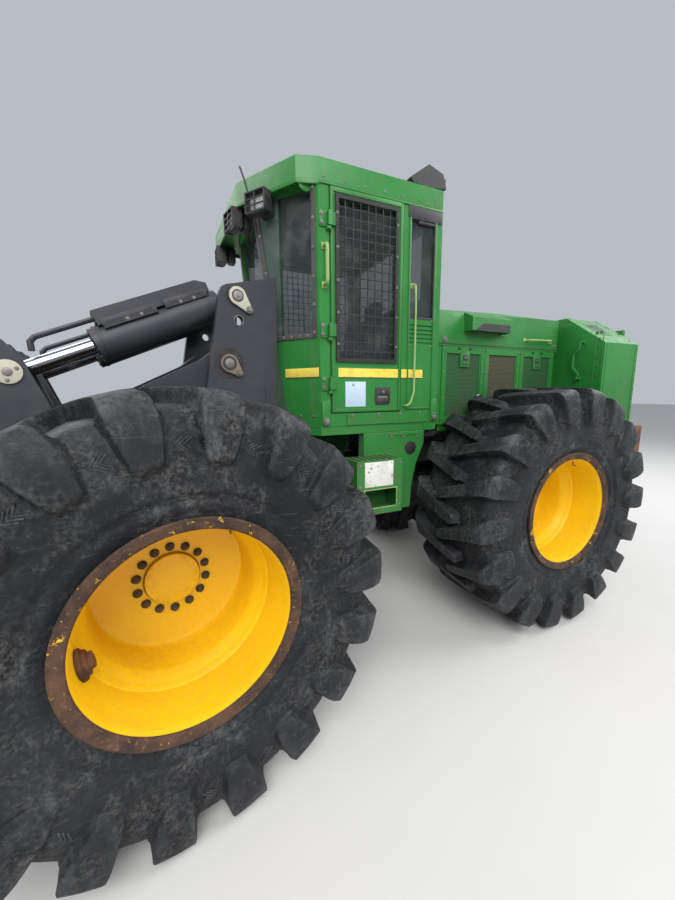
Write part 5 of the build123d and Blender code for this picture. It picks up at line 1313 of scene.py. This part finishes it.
@dataclass
class Cockpit:
    """Seat, consoles and controls, seen through the glass."""

    voxel: float = 0.012
    pressure: float = 4.0
    frames: int = 14
    travel: float = 0.014                 # how far the padding may push the cover out

    @staticmethod
    def evaluated(item: bpy.types.Object) -> bpy.types.Mesh:
        """The mesh of an object with its modifiers applied."""
        return bpy.data.meshes.new_from_object(item.evaluated_get(bpy.context.evaluated_depsgraph_get()))

    def swell(self, source: bmesh.types.BMesh) -> bmesh.types.BMesh:
        """Blows a closed form up as cloth over padding.

        Args:
            source: the form before it is filled.

        Returns:
            The filled form.
        """
        data = bpy.data.meshes.new("filling")
        source.to_mesh(data)
        source.free()
        item = link("filling", data)
        remesh = item.modifiers.new("remesh", "REMESH")
        remesh.mode = "VOXEL"
        remesh.voxel_size = self.voxel
        even = self.evaluated(item)
        item.modifiers.clear()
        item.data = even
        start = [vert.co.copy() for vert in even.vertices]
        cloth = item.modifiers.new("cloth", "CLOTH")
        cloth.settings.use_pressure = True
        cloth.settings.uniform_pressure_force = self.pressure
        cloth.settings.effector_weights.gravity = 0.0
        for step in range(self.frames):
            bpy.context.scene.frame_set(step + 1)
        made = bmesh.new()
        made.from_mesh(self.evaluated(item))
        for vert, origin in zip(made.verts, start):
            move = vert.co - origin
            if move.length > self.travel:
                vert.co = origin + move.normalized() * self.travel
        bpy.data.objects.remove(item)
        bpy.context.scene.frame_set(1)
        return made

    def cushion(self, name: str, low: Point, high: Point, crown: float, upright: bool) -> None:
        """A padded block whose sides pull in and whose faces swell between its sewn channels.

        Args:
            name: name of the piece.
            low: lowest corner.
            high: highest corner.
            crown: how far its corners pull in.
            upright: its channels are on its front and not on its top.
        """
        piece = Piece(name, CLOTH)
        low, high = Vector(low), Vector(high)
        middle, size = (low + high) / 2, high - low
        face, across_axis = (0, 2) if upright else (2, 0)
        bmesh.ops.create_cube(piece.mesh, size=1.0)
        bmesh.ops.subdivide_edges(piece.mesh, edges=piece.mesh.edges[:], cuts=9, use_grid_fill=True)
        for vert in piece.mesh.verts:
            u = [min(1.0, max(-1.0, 2 * c)) for c in vert.co]
            pulled = [1 - crown * (abs(u[(i + 1) % 3]) ** 4 + abs(u[(i + 2) % 3]) ** 4) for i in range(3)]
            vert.co = Vector([u[i] / 2 * (size[i] - 0.026) * pulled[i] for i in range(3)])
        piece.mesh = self.swell(piece.mesh)
        for vert in piece.mesh.verts:
            u = [2 * vert.co[i] / size[i] for i in range(3)]
            channel = max(0.0, 1 - abs(abs(u[1]) - 0.50) / 0.08)
            across = max(0.0, 1 - abs(u[across_axis] - 0.15) / 0.07) * (abs(u[1]) < 0.50)
            if u[face] > 0.6:
                vert.co[face] -= 0.011 * max(channel, across)
            for i in range(3):
                limit = size[i] / 2 - 0.001
                vert.co[i] = min(limit, max(-limit, vert.co[i]))
            vert.co += middle
        for item in piece.put("rear_half", ("seat_cushions",), "seat_fabric", 60.0):
            smooth = item.modifiers.new("smooth", "SUBSURF")
            smooth.levels = 1
            smooth.render_levels = 1

    def seat(self) -> None:
        """Cushion, backrest and head rest, which stand for the plain seat blocks, and the seat's arms."""
        self.cushion("seat_cushion", (-0.140, -0.245, 1.890), (0.300, 0.245, 2.020), 0.10, False)
        self.cushion("seat_back", (-0.250, -0.225, 1.890), (-0.141, 0.225, 2.480), 0.10, True)
        self.cushion("seat_head_rest", (-0.245, -0.140, 2.490), (-0.150, 0.140, 2.668), 0.12, True)
        arms = Piece("seat_frame", PLASTIC)
        for y in (-0.262, 0.262):
            arms.slab((-0.060, y - 0.030, 2.110), (0.270, y + 0.030, 2.150), 0.014)
            arms.tube([(-0.200, y, 1.900), (-0.190, y, 2.130), (-0.040, y, 2.130)], 0.014, 0.04)
        for y in (-0.07, 0.07):
            arms.tube([(-0.225, y, 2.470), (-0.215, y, 2.530)], 0.008)
        arms.put("rear_half")

    def controls(self) -> None:
        """Joysticks, screen, pedals, the shelf behind the seat and the console's keys."""
        dark, screen = Piece("cab_controls", PLASTIC), Piece("cab_screen", LENS)
        keys = Piece("console_keys", STEEL)
        stick = ((0.001, 0.0), (0.030, 0.0), (0.026, 0.018), (0.012, 0.040), (0.010, 0.090), (0.018, 0.110),
                 (0.021, 0.150), (0.018, 0.185), (0.001, 0.195))
        for y in (-0.300, 0.300):
            dark.spin(stick, (0.220, y, 2.150), Axis.Z, 20)
        dark.slab((0.300, -0.480, 2.250), (0.325, -0.250, 2.410), 0.008)
        dark.tube([(0.310, -0.365, 2.150), (0.312, -0.365, 2.330)], 0.012)
        for y in (-0.10, 0.10):
            dark.slab((0.560, y - 0.045, 1.640), (0.585, y + 0.045, 1.760), 0.006)
            dark.slab((0.560, y - 0.012, 1.590), (0.580, y + 0.012, 1.650), 0.003)
        dark.slab((-0.310, -0.690, 2.250), (-0.180, 0.690, 2.270), 0.006)
        screen.slab((0.298, -0.468, 2.262), (0.301, -0.262, 2.398), 0.001)
        for y in (-0.40, -0.35):
            keys.row(4, (0.05, 0, 0), (0.10, y, 2.148), (0.13, y + 0.03, 2.156), 0.002)
        put_all("rear_half", dark, screen, keys)

    def build(self) -> None:
        """Builds the cab's inside."""
        self.seat()
        self.controls()


@dataclass
class EngineCovers:
    """The bolted side screens, bonnet fittings, rear box, grille and bumper."""

    bays: tuple = ((-0.481, -0.958), (-0.958, -1.401), (-1.401, -1.866))
    screen_z: tuple[float, float] = (1.558, 2.212)
    margin: float = 0.042
    face: float = 0.660
    sheet: float = 0.648
    box_half: float = 1.050
    box_front: float = -1.986
    box_rear: float = -2.506
    box_top: float = 2.531
    box_bevel: tuple[float, float] = (0.268, 0.373)         # its height and width
    latches: tuple = ((-0.733, 2.109), (-1.633, 2.109))
    scoop_mouth: tuple = ((-0.730, 2.333), (-1.132, 2.333), (-1.132, 2.392), (-0.830, 2.392))

    def screens(self) -> None:
        """Punched sheets in the three bays, their folded frames and corner bolts, on both sides."""
        frames, bolts = Piece("screen_frames", GREEN), Piece("screen_bolts", STEEL)
        (low, high), depth = self.screen_z, (self.sheet - 0.002, self.sheet + 0.007)
        z0, z1 = low + self.margin, high - self.margin
        for number, (front, rear) in enumerate(self.bays):
            sheet = Piece(f"punched_sheet_{number}", PUNCHED_BROWN if number == 1 else PUNCHED)
            x0, x1 = rear + self.margin, front - self.margin
            inner = (x0 + 0.012, x1 - 0.012)
            for side in (1, -1):
                sheet.wall(side, (x0, x1), (self.sheet - 0.001, self.sheet + 0.0014), (z0, z1))
                for x, z in (((x0, inner[0]), (z0, z1)), ((inner[1], x1), (z0, z1)),
                             (inner, (z1 - 0.014, z1)), (inner, (z0, z0 + 0.012))):
                    frames.wall(side, x, depth, z, 0.002)
                spots = [(x, side * self.face, z) for x in (front - 0.020, rear + 0.020)
                         for z in (low + 0.05, 1.78, 2.00, high - 0.03)]
                bolts.bolts(spots, (0, side, 0), 0.0075, 0.006)
            sheet.put("rear_half")
        put_all("rear_half", frames, bolts)

    def fasteners(self) -> None:
        """The square latch plates with their dark slots, the keyholes over them and the white lifting eye."""
        plates, dark = Piece("latch_plates", GREEN), Piece("latch_slots", PLASTIC)
        bright, eye = Piece("latch_keys", STEEL), Piece("white_lifting_eye", WHITE)
        sheet, face = self.sheet, self.face
        for side in (1, -1):
            for x, z in self.latches:
                # piece, half width, heights from the latch's middle, depth from the sheet, bevel
                for piece, half, low, high, near, far, bevel in (
                        (plates, 0.052, -0.070, 0.070, 0.000, 0.0120, 0.004),
                        (dark, 0.028, -0.016, 0.032, 0.004, 0.0135, 0.002),
                        (dark, 0.026, -0.052, -0.040, 0.004, 0.0130, 0.002)):
                    depth = (sheet + near, sheet + far)
                    piece.wall(side, (x - half, x + half), depth, (z + low, z + high), bevel)
                bright.disc(x, z + 0.008, side * (sheet + 0.012), side * (sheet + 0.017), 0.010, 16, 0.002)
                for dx in (-0.060, 0.062):
                    hole = (x + dx - 0.016, x + dx + 0.016)
                    dark.wall(side, hole, (face - 0.001, face + 0.0012), (2.184, 2.198), 0.001)
                    dark.disc(x + dx + 0.012, 2.189, side * (face - 0.001), side * (face + 0.0012), 0.011, 16)
            eye.tube([(-0.899 + 0.022 * math.cos(a), side * (face + 0.010), 1.764 + 0.034 * math.sin(a))
                      for a in (math.tau * i / 24 for i in range(25))], 0.010, 0.001, 10)
            eye.wall(side, (-0.917, -0.881), (sheet + 0.001, face + 0.012), (1.716, 1.736), 0.004)
        put_all("rear_half", plates, dark, bright, eye)

    def bonnet(self) -> None:
        """The bonnet's black seal, handles, bolts and scoop lips, and the struts that hold it up."""
        seal, handle = Piece("bonnet_seal", PLASTIC), Piece("bonnet_handle", PALE_GREEN)
        lips, bolts = Piece("scoop_lips", GREEN), Piece("bonnet_bolts", STEEL)
        strut, bracket = Piece("bonnet_strut", CHROME), Piece("strut_brackets", PLASTIC)
        for side in (1, -1):
            seal.wall(side, (-1.895, -0.440), (0.646, 0.6655), (2.2225, 2.2290), 0.002)
            handle.tube([(-1.440, side * 0.659, 2.292), (-1.456, side * 0.697, 2.298),
                         (-1.770, side * 0.697, 2.306), (-1.788, side * 0.659, 2.310)], 0.0085, 0.02, 12)
            for x in (-1.440, -1.788):
                handle.wall(side, (x - 0.024, x + 0.024), (0.658, 0.664), (2.284, 2.318), 0.003)
            for x, radius in ((-0.502, 0.018), (-1.852, 0.015)):
                bolts.bolt((x, side * self.face, 2.262), (0, side, 0), radius, 0.012)
            spots = [(x, side * self.face, z) for x in (-1.138, -0.712) for z in (2.346, 2.440)]
            bolts.bolts(spots, (0, side, 0), 0.007, 0.005)
            lips.wall(side, (-1.158, -0.692), (0.658, 0.664), (2.318, 2.330), 0.002)
            seal.wall(side, (-1.120, -0.730), (0.6590, 0.6612), (2.336, 2.400), 0.001)
            seal.plate(self.scoop_mouth, Axis.Y, *sorted((side * 0.7590, side * 0.7612)))
            strut.bar((-0.424, side * 0.610, 2.225), (-0.414, side * 0.640, 2.352), 0.008, 14)
            bracket.bar((-0.426, side * 0.604, 2.200), (-0.420, side * 0.622, 2.275), 0.014, 16, 0.003)
        spots = [(x, y, 2.505) for y in (-0.250, 0.250) for x in (-0.520, -1.800)]
        bolts.bolts(spots, (0, 0, 1), 0.009, 0.006)
        put_all("hood", seal, handle, lips, bolts)
        put_all("rear_half", strut, bracket)

    def rear_box(self) -> None:
        """The box's seams, bolts and grab bar feet, the dark patch on its bevel and the top's hatch."""
        seams, bolts, dark = Piece("box_seams", GREEN), Piece("box_bolts", GREEN), Piece("box_hatch", PLASTIC)
        front, rear, half, top = self.box_front, self.box_rear, self.box_half, self.box_top
        for side in (1, -1):
            for y in (0.968, 1.034):
                seam = (front - 0.002, front + 0.0035)
                seams.wall(side, seam, (y - 0.004, y + 0.004), (1.510, 2.340), 0.0015)
            spots = [(front + 0.001, side * 1.001, 1.56 + 0.082 * i) for i in range(10)]
            bolts.bolts(spots, (1, 0, 0), 0.0075, 0.006)
            bolts.bolts(((front + 0.001, side * y, 2.352) for y in (0.974, 1.012)), (1, 0, 0), 0.011, 0.006)
            for x in (front - 0.045, rear + 0.030):
                seams.wall(side, (x, x + 0.010), (half - 0.002, half + 0.0035), (1.505, 2.255), 0.0015)
            spots = [(rear + 0.018, side * (half + 0.001), 1.58 + 0.090 * i) for i in range(8)]
            bolts.bolts(spots, (0, side, 0), 0.0075, 0.006)
            for z, y in ((2.284, 0.864), (1.946, 0.849)):
                seams.wall(side, (front - 0.002, front + 0.005), (y - 0.018, y + 0.018),
                           (z - 0.018, z + 0.018), 0.003)
            lean = Matrix.Rotation(-side * math.atan2(*self.box_bevel), 4, "X")
            spot = Matrix.Translation((-2.210, side * 0.840, 2.4141)) @ lean
            dark.slab((-0.075, -0.085, -0.002), (0.075, 0.085, 0.0015), 0.001, spot)
            seams.ring((-0.095, -0.105, -0.002), (0.095, 0.105, 0.004), 0.018, Axis.Y, Axis.X, 0.002, spot)
            spots = [spot @ Vector((x, y, 0.0)) for x in (-0.235, 0.180) for y in (-0.20, -0.07, 0.07, 0.20)]
            bolts.bolts(spots, spot.to_3x3() @ Vector((0, 0, 1)), 0.0075, 0.005)
        spots = [(x, y, top) for y in (-0.600, -0.200, 0.200, 0.600) for x in (-2.480, -2.012)]
        bolts.bolts(spots, (0, 0, 1), 0.009, 0.006)
        seams.ring((-2.440, -0.508, top - 0.002), (-2.052, 0.508, top + 0.004), 0.008, Axis.X, Axis.Y, 0.001)
        put_all("rear_half", seams, bolts, dark)

    def grille(self) -> None:
        """The rear door's wire cloth, hinges and latches, and the fins of the core behind it."""
        wires, fins = Piece("grille_wire", BLACK), Piece("core_fins", STRIP_GREY)
        hinges, latches = Piece("grille_hinges", STEEL), Piece("grille_latches", PLASTIC)
        wires.row(44, (0, 0.040, 0), (-2.5085, -0.8616, 1.640), (-2.5055, -0.8584, 2.380))
        wires.row(19, (0, 0, 0.040), (-2.5110, -0.860, 1.6384), (-2.5085, 0.860, 1.6416))
        fins.row(70, (0, 0.0216, 0), (-2.2485, -0.7462, 1.560), (-2.2430, -0.7438, 2.330))
        fins.row(5, (0, 0, 0.180), (-2.2520, -0.750, 1.572), (-2.2430, 0.750, 1.588), 0.002)
        for z in (1.760, 2.260):
            hinges.bar((-2.512, 0.912, z - 0.045), (-2.512, 0.912, z + 0.045), 0.011, 16, 0.002)
            latches.slab((-2.524, -0.880, z - 0.040), (-2.512, -0.850, z + 0.040), 0.004)
        wires.put("rear_door")
        put_all("rear_half", fins, hinges)
        latches.put("rear_door")

    def bumper(self) -> None:
        """Weld beads and pad plates at the back."""
        welds = Piece("bumper_welds", RUST)
        for side in (1, -1):
            welds.tube([(-2.524, side * 0.930, 1.200), (-2.524, side * 0.930, 1.455)], 0.007)
            welds.wall(side, (-2.953, -2.949), (0.700, 0.900), (1.300, 1.380), 0.003)
        welds.put("rear_half")

    def build(self) -> None:
        """Builds all that is fixed to the engine end."""
        for step in (self.screens, self.fasteners, self.bonnet, self.rear_box, self.grille, self.bumper):
            step()


@dataclass
class Undercarriage:
    """Fittings of the step boxes and side tanks, and the bolts of the axle bowls."""

    step_x: tuple[float, float] = (0.090, 0.460)
    step_y: float = 0.950
    tank_y: float = 0.750
    axles_x: tuple[float, float] = (-1.100, 1.820)
    axle_z: float = 0.930
    bowl_reach: float = 0.215
    bowl_bolts: float = 0.150

    def step_boxes(self) -> None:
        """The torn blank label, rims of the foothold, tread strips and bolts of the step boxes."""
        label, rims = Piece("step_label", PAPER), Piece("step_rims", PALE_GREEN)
        bolts, grip = Piece("step_bolts", STEEL), Piece("step_grip", BLACK)
        (x0, x1), y = self.step_x, self.step_y
        label.wall(1, (0.168, 0.399), (y - 0.0006, y + 0.0010), (1.172, 1.350), 0.0004)
        for side in (1, -1):
            low, high = sorted((side * (y - 0.001), side * (y + 0.004)))
            rims.ring((0.132, low, 1.010), (0.408, high, 1.156), 0.008, Axis.X, Axis.Z)
            spots = [(x, side * y, z) for x in (x0 + 0.022, x1 - 0.022) for z in (1.020, 1.180, 1.330)]
            bolts.bolts(spots, (0, side, 0), 0.008, 0.006)
            low, high = sorted((side * 0.765, side * 0.935))
            grip.row(7, (0.050, 0, 0), (x0 + 0.025, low, 1.359), (x0 + 0.045, high, 1.363), 0.001)
        put_all("rear_half", label, rims, bolts, grip)

    def tanks(self) -> None:
        """Filler cap, seams and bolts of the side tanks."""
        seams, bolts, cap = Piece("tank_seams", GREEN), Piece("tank_bolts", STEEL), Piece("filler_cap", BLACK)
        y = self.tank_y
        for side in (1, -1):
            for x, z in (((-0.200, 0.080), (1.500, 1.514)), ((-0.060, 0.080), (0.922, 0.936))):
                seams.wall(side, x, (y - 0.001, y + 0.005), z, 0.002)
            bolts.bolts(((x, side * y, 1.490) for x in (-0.180, -0.050, 0.060)), (0, side, 0), 0.009, 0.007)
            bolts.bolt((-0.020, side * y, 0.985), (0, side, 0), 0.016, 0.010)
        cap.disc(-0.120, 1.395, y - 0.001, y + 0.006, 0.052, 32, 0.003)
        cap.disc(-0.120, 1.395, y + 0.006, y + 0.009, 0.040, 10, 0.001)
        put_all("rear_half", seams, bolts, cap)

    def axles(self) -> None:
        """Bolt circles on both faces of the axle bowls."""
        for half, body, x in zip((Half.REAR, Half.FRONT), ("rear_half", "front_half"), self.axles_x):
            bolts = Piece(f"axle_bolts_{half.name.lower()}", STEEL, half)
            for out in (1, -1):
                places = circle((x + out * self.bowl_reach, 0.0, self.axle_z), self.bowl_bolts, 12, Axis.X)
                bolts.bolts(places, (out, 0, 0), 0.012, 0.010)
            bolts.put(body)

    def build(self) -> None:
        """Builds what sits low on the machine."""
        for step in (self.step_boxes, self.tanks, self.axles):
            step()


@dataclass
class Tower:
    """Pin keepers, pin ends, a worn ring and welds on the tower, and the caps of the adapter's pins."""

    plate: float = 0.430
    # x, z of the pin; x, z from it to the keeper's bolt; cream or rusty
    keepers: tuple = ((1.245, 2.442, -0.074, -0.079, True), (1.318, 2.022, -0.061, -0.060, False))
    big: float = 0.056
    small: float = 0.021

    def keeper(self, pin: Point, step: Point) -> list[Point]:
        """The outline of a drop-shaped plate round a pin and its keeper's bolt.

        Args:
            pin: x and z of the pin.
            step: x and z from the pin to the bolt.

        Returns:
            Its corners, x and z.
        """
        lean = math.acos((self.big - self.small) / math.hypot(*step))
        towards = math.atan2(step[1], step[0])
        bolt = (pin[0] + step[0], pin[1] + step[1])
        outline = []
        arcs = ((pin, self.big, towards + lean, towards - lean + math.tau, 16),
                (bolt, self.small, towards - lean, towards + lean, 8))
        for (x, z), radius, start, stop, count in arcs:
            for i in range(count + 1):
                a = start + (stop - start) * i / count
                outline.append((x + radius * math.cos(a), z + radius * math.sin(a)))
        return outline

    def pins(self) -> None:
        """Both keepers with their grease nipples and bolts, and the stain round the rusty one."""
        y = self.plate
        for number, (x, z, dx, dz, cream) in enumerate(self.keepers):
            plate = Piece(f"pin_keeper_{number}", CREAM if cream else WORN_PIN, Half.FRONT)
            steel = Piece(f"pin_end_{number}", STEEL, Half.FRONT)
            outline = self.keeper((x, z), (dx, dz))
            for side in (1, -1):
                plate.plate(outline, Axis.Y, *sorted((side * (y + 0.0105), side * (y + 0.0145))), 0.002)
                steel.disc(x, z, side * (y + 0.013), side * (y + 0.0185), 0.030, 28, 0.003)
                steel.disc(x, z, side * (y + 0.018), side * (y + 0.024), 0.007, 10, 0.002)
                steel.bolt((x + dx, side * (y + 0.014), z + dz), (0, side, 0), 0.017, 0.014)
            put_all("front_half", plate, steel)
            if not cream:
                stain = Piece(f"keeper_stain_{number}", BLACK, Half.FRONT)
                for side in (1, -1):
                    stain.disc(x, z, side * (y - 0.001), side * (y + 0.0012), 0.098, 36)
                stain.put("front_half")

    def shaded_holes(self) -> None:
        """A worn ring round the lifting eye and weld beads along the tower's plates."""
        ring, weld = Piece("eye_ring", STEEL, Half.FRONT), Piece("tower_welds", CHARCOAL, Half.FRONT)
        for side in (1, -1):
            route = circle((1.240, side * (self.plate + 0.0008), 2.293), 0.031, 32)
            ring.tube(route + route[:1], 0.0022, 0.001, 6)
            y = side * (self.plate + 0.001)
            weld.tube([(1.075, y, 1.300), (1.075, y, 1.900)], 0.006, 0.01, 8)
        put_all("front_half", ring, weld)

    def pin_caps(self) -> None:
        """Round caps with bolts on the adapter's pins."""
        caps = Piece("adapter_pin_caps", CREAM, Half.FRONT)
        bolts = Piece("adapter_cap_bolts", STEEL, Half.FRONT)
        x, y, z = 2.390, 0.457, 1.940
        for side in (1, -1):
            caps.disc(x, z, side * (y - 0.013), side * y, 0.058, 36, 0.004)
            bolts.disc(x, z, side * y, side * (y + 0.006), 0.020, 20, 0.003)
            spots = [(x + 0.040 * math.cos(a), side * y, z + 0.040 * math.sin(a)) for a in (0.6, 2.7, 4.8)]
            bolts.bolts(spots, (0, side, 0), 0.007, 0.006)
        put_all("head_pins", caps, bolts)

    def build(self) -> None:
        """Builds the fittings of the tower and the adapter."""
        for step in (self.pins, self.shaded_holes, self.pin_caps):
            step()


@dataclass
class Cylinders:
    """Glands, wipers and bolted guard rails of the tilt and lift cylinders."""

    tilt_base: tuple[float, float] = (1.245, 2.442)
    tilt_eye: tuple[float, float] = (2.390, 1.940)
    tilt_y: float = 0.285
    tilt_radius: float = 0.0925
    tilt_barrel: float = 0.850
    lift_base: tuple[float, float] = (1.235, 1.010)
    lift_eye: tuple[float, float] = (1.950, 1.560)
    lift_y: float = 0.180
    lift_radius: float = 0.075
    lift_barrel: float = 0.790
    # radius, place along the cylinder
    wiper: tuple = ((0.0424, 0.846), (0.052, 0.846), (0.054, 0.8535), (0.047, 0.8580), (0.0424, 0.8570))

    def frame_of(self, base: Point, eye: Point, y: float) -> Matrix:
        """A matrix whose X runs along a cylinder and whose Z stands across it, upwards."""
        along = Vector((eye[0] - base[0], 0.0, eye[1] - base[1])).normalized()
        across = Vector((0, 1, 0))
        turn = Matrix((along, across, along.cross(across))).transposed().to_4x4()
        return Matrix.Translation((base[0], y, base[1])) @ turn

    def gland(self, piece: Piece, bolts: Piece, spot: Matrix, length: float, radius: float) -> None:
        """A ring with bolts at the open end of a barrel, inside the barrel's own length."""
        start, end = spot @ Vector((length - 0.052, 0, 0)), spot @ Vector((length - 0.034, 0, 0))
        piece.bar(start, end, radius + 0.0035, 40, 0.002)
        places = circle((length - 0.001, 0, 0), radius - 0.020, 8, Axis.X, math.tau / 16)
        bolts.bolts((spot @ place for place in places), spot.to_3x3() @ Vector((1, 0, 0)), 0.008, 0.007)

    def tilt(self) -> None:
        """Slotted guard rails with their bolts, cross folds, glands and wipers on the tilt barrels."""
        rails = Piece("tilt_guard_rails", CHARCOAL, Half.FRONT)
        glands = Piece("tilt_gland_bolts", CHARCOAL, Half.FRONT)
        dark = Piece("tilt_guard_slots", BLACK, Half.FRONT)
        bright = Piece("tilt_guard_bolts", STEEL, Half.FRONT)
        wiper = Piece("tilt_wipers", PLASTIC, Half.FRONT)
        for side in (1, -1):
            spot = self.frame_of(self.tilt_base, self.tilt_eye, side * self.tilt_y)
            self.gland(rails, glands, spot, self.tilt_barrel, self.tilt_radius)
            for out in (1, -1):
                for x, depth, z in (((0.150, 0.420), (0.076, 0.081), (0.062, 0.110)),
                                    ((0.470, 0.770), (0.076, 0.081), (0.062, 0.110)),
                                    ((0.470, 0.770), (0.062, 0.094), (0.058, 0.064))):
                    rails.wall(out, x, depth, z, 0.0015, spot)
                for x in (0.205, 0.285, 0.365, 0.520, 0.600, 0.680, 0.735):
                    dark.wall(out, (x - 0.026, x + 0.018), (0.0805, 0.0816), (0.084, 0.092), 0.0008, spot)
                spots = [spot @ Vector((x, out * 0.081, 0.074)) for x in (0.240, 0.325, 0.560, 0.640)]
                bright.bolts(spots, spot.to_3x3() @ Vector((0, out, 0)), 0.007, 0.006)
            for x in (0.130, 0.450, 0.786):
                rails.slab((x, -0.074, 0.100), (x + 0.010, 0.074, 0.1085), 0.002, spot)
            known = set(wiper.mesh.verts)
            wiper.spin(self.wiper, axis=Axis.X, steps=32)
            fresh = [vert for vert in wiper.mesh.verts if vert not in known]
            bmesh.ops.transform(wiper.mesh, matrix=spot, verts=fresh)
        put_all("tilt_barrels", rails, glands, dark, bright, wiper)

    def lift(self) -> None:
        """Glands on the lift barrels."""
        rings = Piece("lift_glands", CHARCOAL, Half.FRONT)
        bolts = Piece("lift_gland_bolts", STEEL, Half.FRONT)
        for side in (1, -1):
            spot = self.frame_of(self.lift_base, self.lift_eye, side * self.lift_y)
            self.gland(rings, bolts, spot, self.lift_barrel, self.lift_radius)
        put_all("lift_barrels", rings, bolts)

    def build(self) -> None:
        """Builds the fittings of all four cylinders."""
        self.tilt()
        self.lift()


@dataclass
class FellingHead:
    """Bolts and wear strips of the felling head."""

    half_width: float = 0.470
    front_x: float = 2.900
    bolts_x: float = 2.955
    saw_x: float = 3.560
    cover_radius: float = 0.690
    cover_z: float = 0.332

    def build(self) -> None:
        """Sets the bolt rows and rub strips of the head's frame and the bolts of the saw housing's cover."""
        bolts, worn = Piece("head_bolts", STEEL, Half.FRONT), Piece("head_rub_strips", STEEL, Half.FRONT)
        cover = Piece("saw_housing_bolts", STEEL, Half.FRONT)
        for side in (1, -1):
            spots = [(self.bolts_x, side * self.half_width, 1.35 + 0.12 * i) for i in range(8)]
            bolts.bolts(spots, (0, side, 0), 0.011, 0.008)
        for y in (-0.150, 0.150):
            worn.slab((self.front_x - 0.001, y - 0.025, 1.420),
                      (self.front_x + 0.006, y + 0.025, 2.180), 0.003)
        for i in range(9):
            a = math.radians(100 + 20 * i)
            x, y = self.saw_x + self.cover_radius * math.cos(a), self.cover_radius * math.sin(a)
            cover.bolt((x, y, self.cover_z), (0, 0, 1), 0.013, 0.010)
        put_all("felling_head", bolts, worn, cover)


@dataclass
class Studio:
    """The camera of the photograph, a pale floor and soft light."""

    # from the articulation axis, in the rear half's frame
    eye: tuple[float, float, float] = (1.570, 3.081, 1.827)
    yaw: float = 24.33
    pitch: float = 9.0
    roll: float = -0.44
    focal_px: float = 358.4
    frame_px: tuple[int, int] = (675, 900)
    sensor: float = 36.0
    floor_colour: Colour = (0.62, 0.61, 0.59)
    sky: Colour = (0.80, 0.85, 0.92)
    # place, aim, width, power
    lamps: tuple = (((3.0, 9.0, 9.0), (0.0, 0.0, 1.5), 8.0, 1450.0),
                    ((-9.0, 3.0, 8.0), (-1.0, 0.0, 1.2), 7.0, 800.0),
                    ((6.0, -6.0, 9.0), (0.0, 0.0, 1.0), 8.0, 600.0))

    def camera(self) -> None:
        """Places the camera at the photograph's viewpoint."""
        data = bpy.data.cameras.new("camera")
        data.sensor_width = self.sensor
        data.lens = self.focal_px / max(self.frame_px) * self.sensor
        data.clip_start = 0.05
        data.clip_end = 200.0
        camera = link("camera", data)
        yaw, pitch = math.radians(self.yaw), math.radians(self.pitch)
        level = math.cos(pitch)
        forward = Vector((-math.sin(yaw) * level, -math.cos(yaw) * level, -math.sin(pitch)))
        right = forward.cross(Vector((0, 0, 1))).normalized()
        above = right.cross(forward)
        turn = math.radians(self.roll)
        across = right * math.cos(turn) + above * math.sin(turn)
        upward = above * math.cos(turn) - right * math.sin(turn)
        axes = Matrix((across, upward, -forward)).transposed().to_4x4()
        camera.matrix_world = Matrix.Translation(LAYOUT.matrix(Half.REAR) @ Vector(self.eye)) @ axes
        bpy.context.scene.camera = camera

    def floor(self) -> None:
        """Lays the plain floor under the machine."""
        mesh = bmesh.new()
        bmesh.ops.create_grid(mesh, x_segments=1, y_segments=1, size=60.0)
        data = bpy.data.meshes.new("studio_floor")
        mesh.to_mesh(data)
        mesh.free()
        shader = Shader("studio_floor")
        darker = tuple(c * 0.94 for c in self.floor_colour)
        tone = shader.blend(shader.noise(3.0, 5.0), self.floor_colour, darker)
        data.materials.append(shader.surface(tone, 0.9))
        link("studio_floor", data)

    def light(self) -> None:
        """Hangs broad soft lights and fills the world with pale light."""
        world = bpy.data.worlds.new("studio_world")
        world.use_nodes = True
        background = world.node_tree.nodes["Background"]
        background.inputs["Color"].default_value = (*self.sky, 1.0)
        background.inputs["Strength"].default_value = 0.60
        bpy.context.scene.world = world
        for number, (place, aim, width, power) in enumerate(self.lamps):
            data = bpy.data.lights.new(f"studio_light_{number}", "AREA")
            data.size = width
            data.energy = power
            lamp = link(f"studio_light_{number}", data)
            lamp.location = place
            lamp.rotation_euler = (Vector(aim) - Vector(place)).to_track_quat("-Z", "Y").to_euler()

    def build(self) -> None:
        """Sets the whole studio."""
        bpy.context.scene.view_settings.view_transform = "Standard"
        self.camera()
        self.floor()
        self.light()


def dress_nodes() -> None:
    """Gives every node of the frame its finish."""
    for name, node in frame["nodes"].items():
        material = NODE_FINISHES[name].material()
        if not node.data.materials:
            node.data.materials.append(material)
        for slot in node.material_slots:
            slot.material = material
        LOG.info("dressed %s", name)


def main() -> None:
    """Builds the looks in order."""
    logging.basicConfig(level=logging.INFO, format="%(message)s")
    Studio().build()
    dress_nodes()
    groups = (Wheels, Joinery, CabTrim, Cockpit, EngineCovers, Undercarriage, Tower, Cylinders, FellingHead)
    for group in groups:
        LOG.info("building %s", group.__name__)
        group().build()


if __name__ == "__main__":
    main()
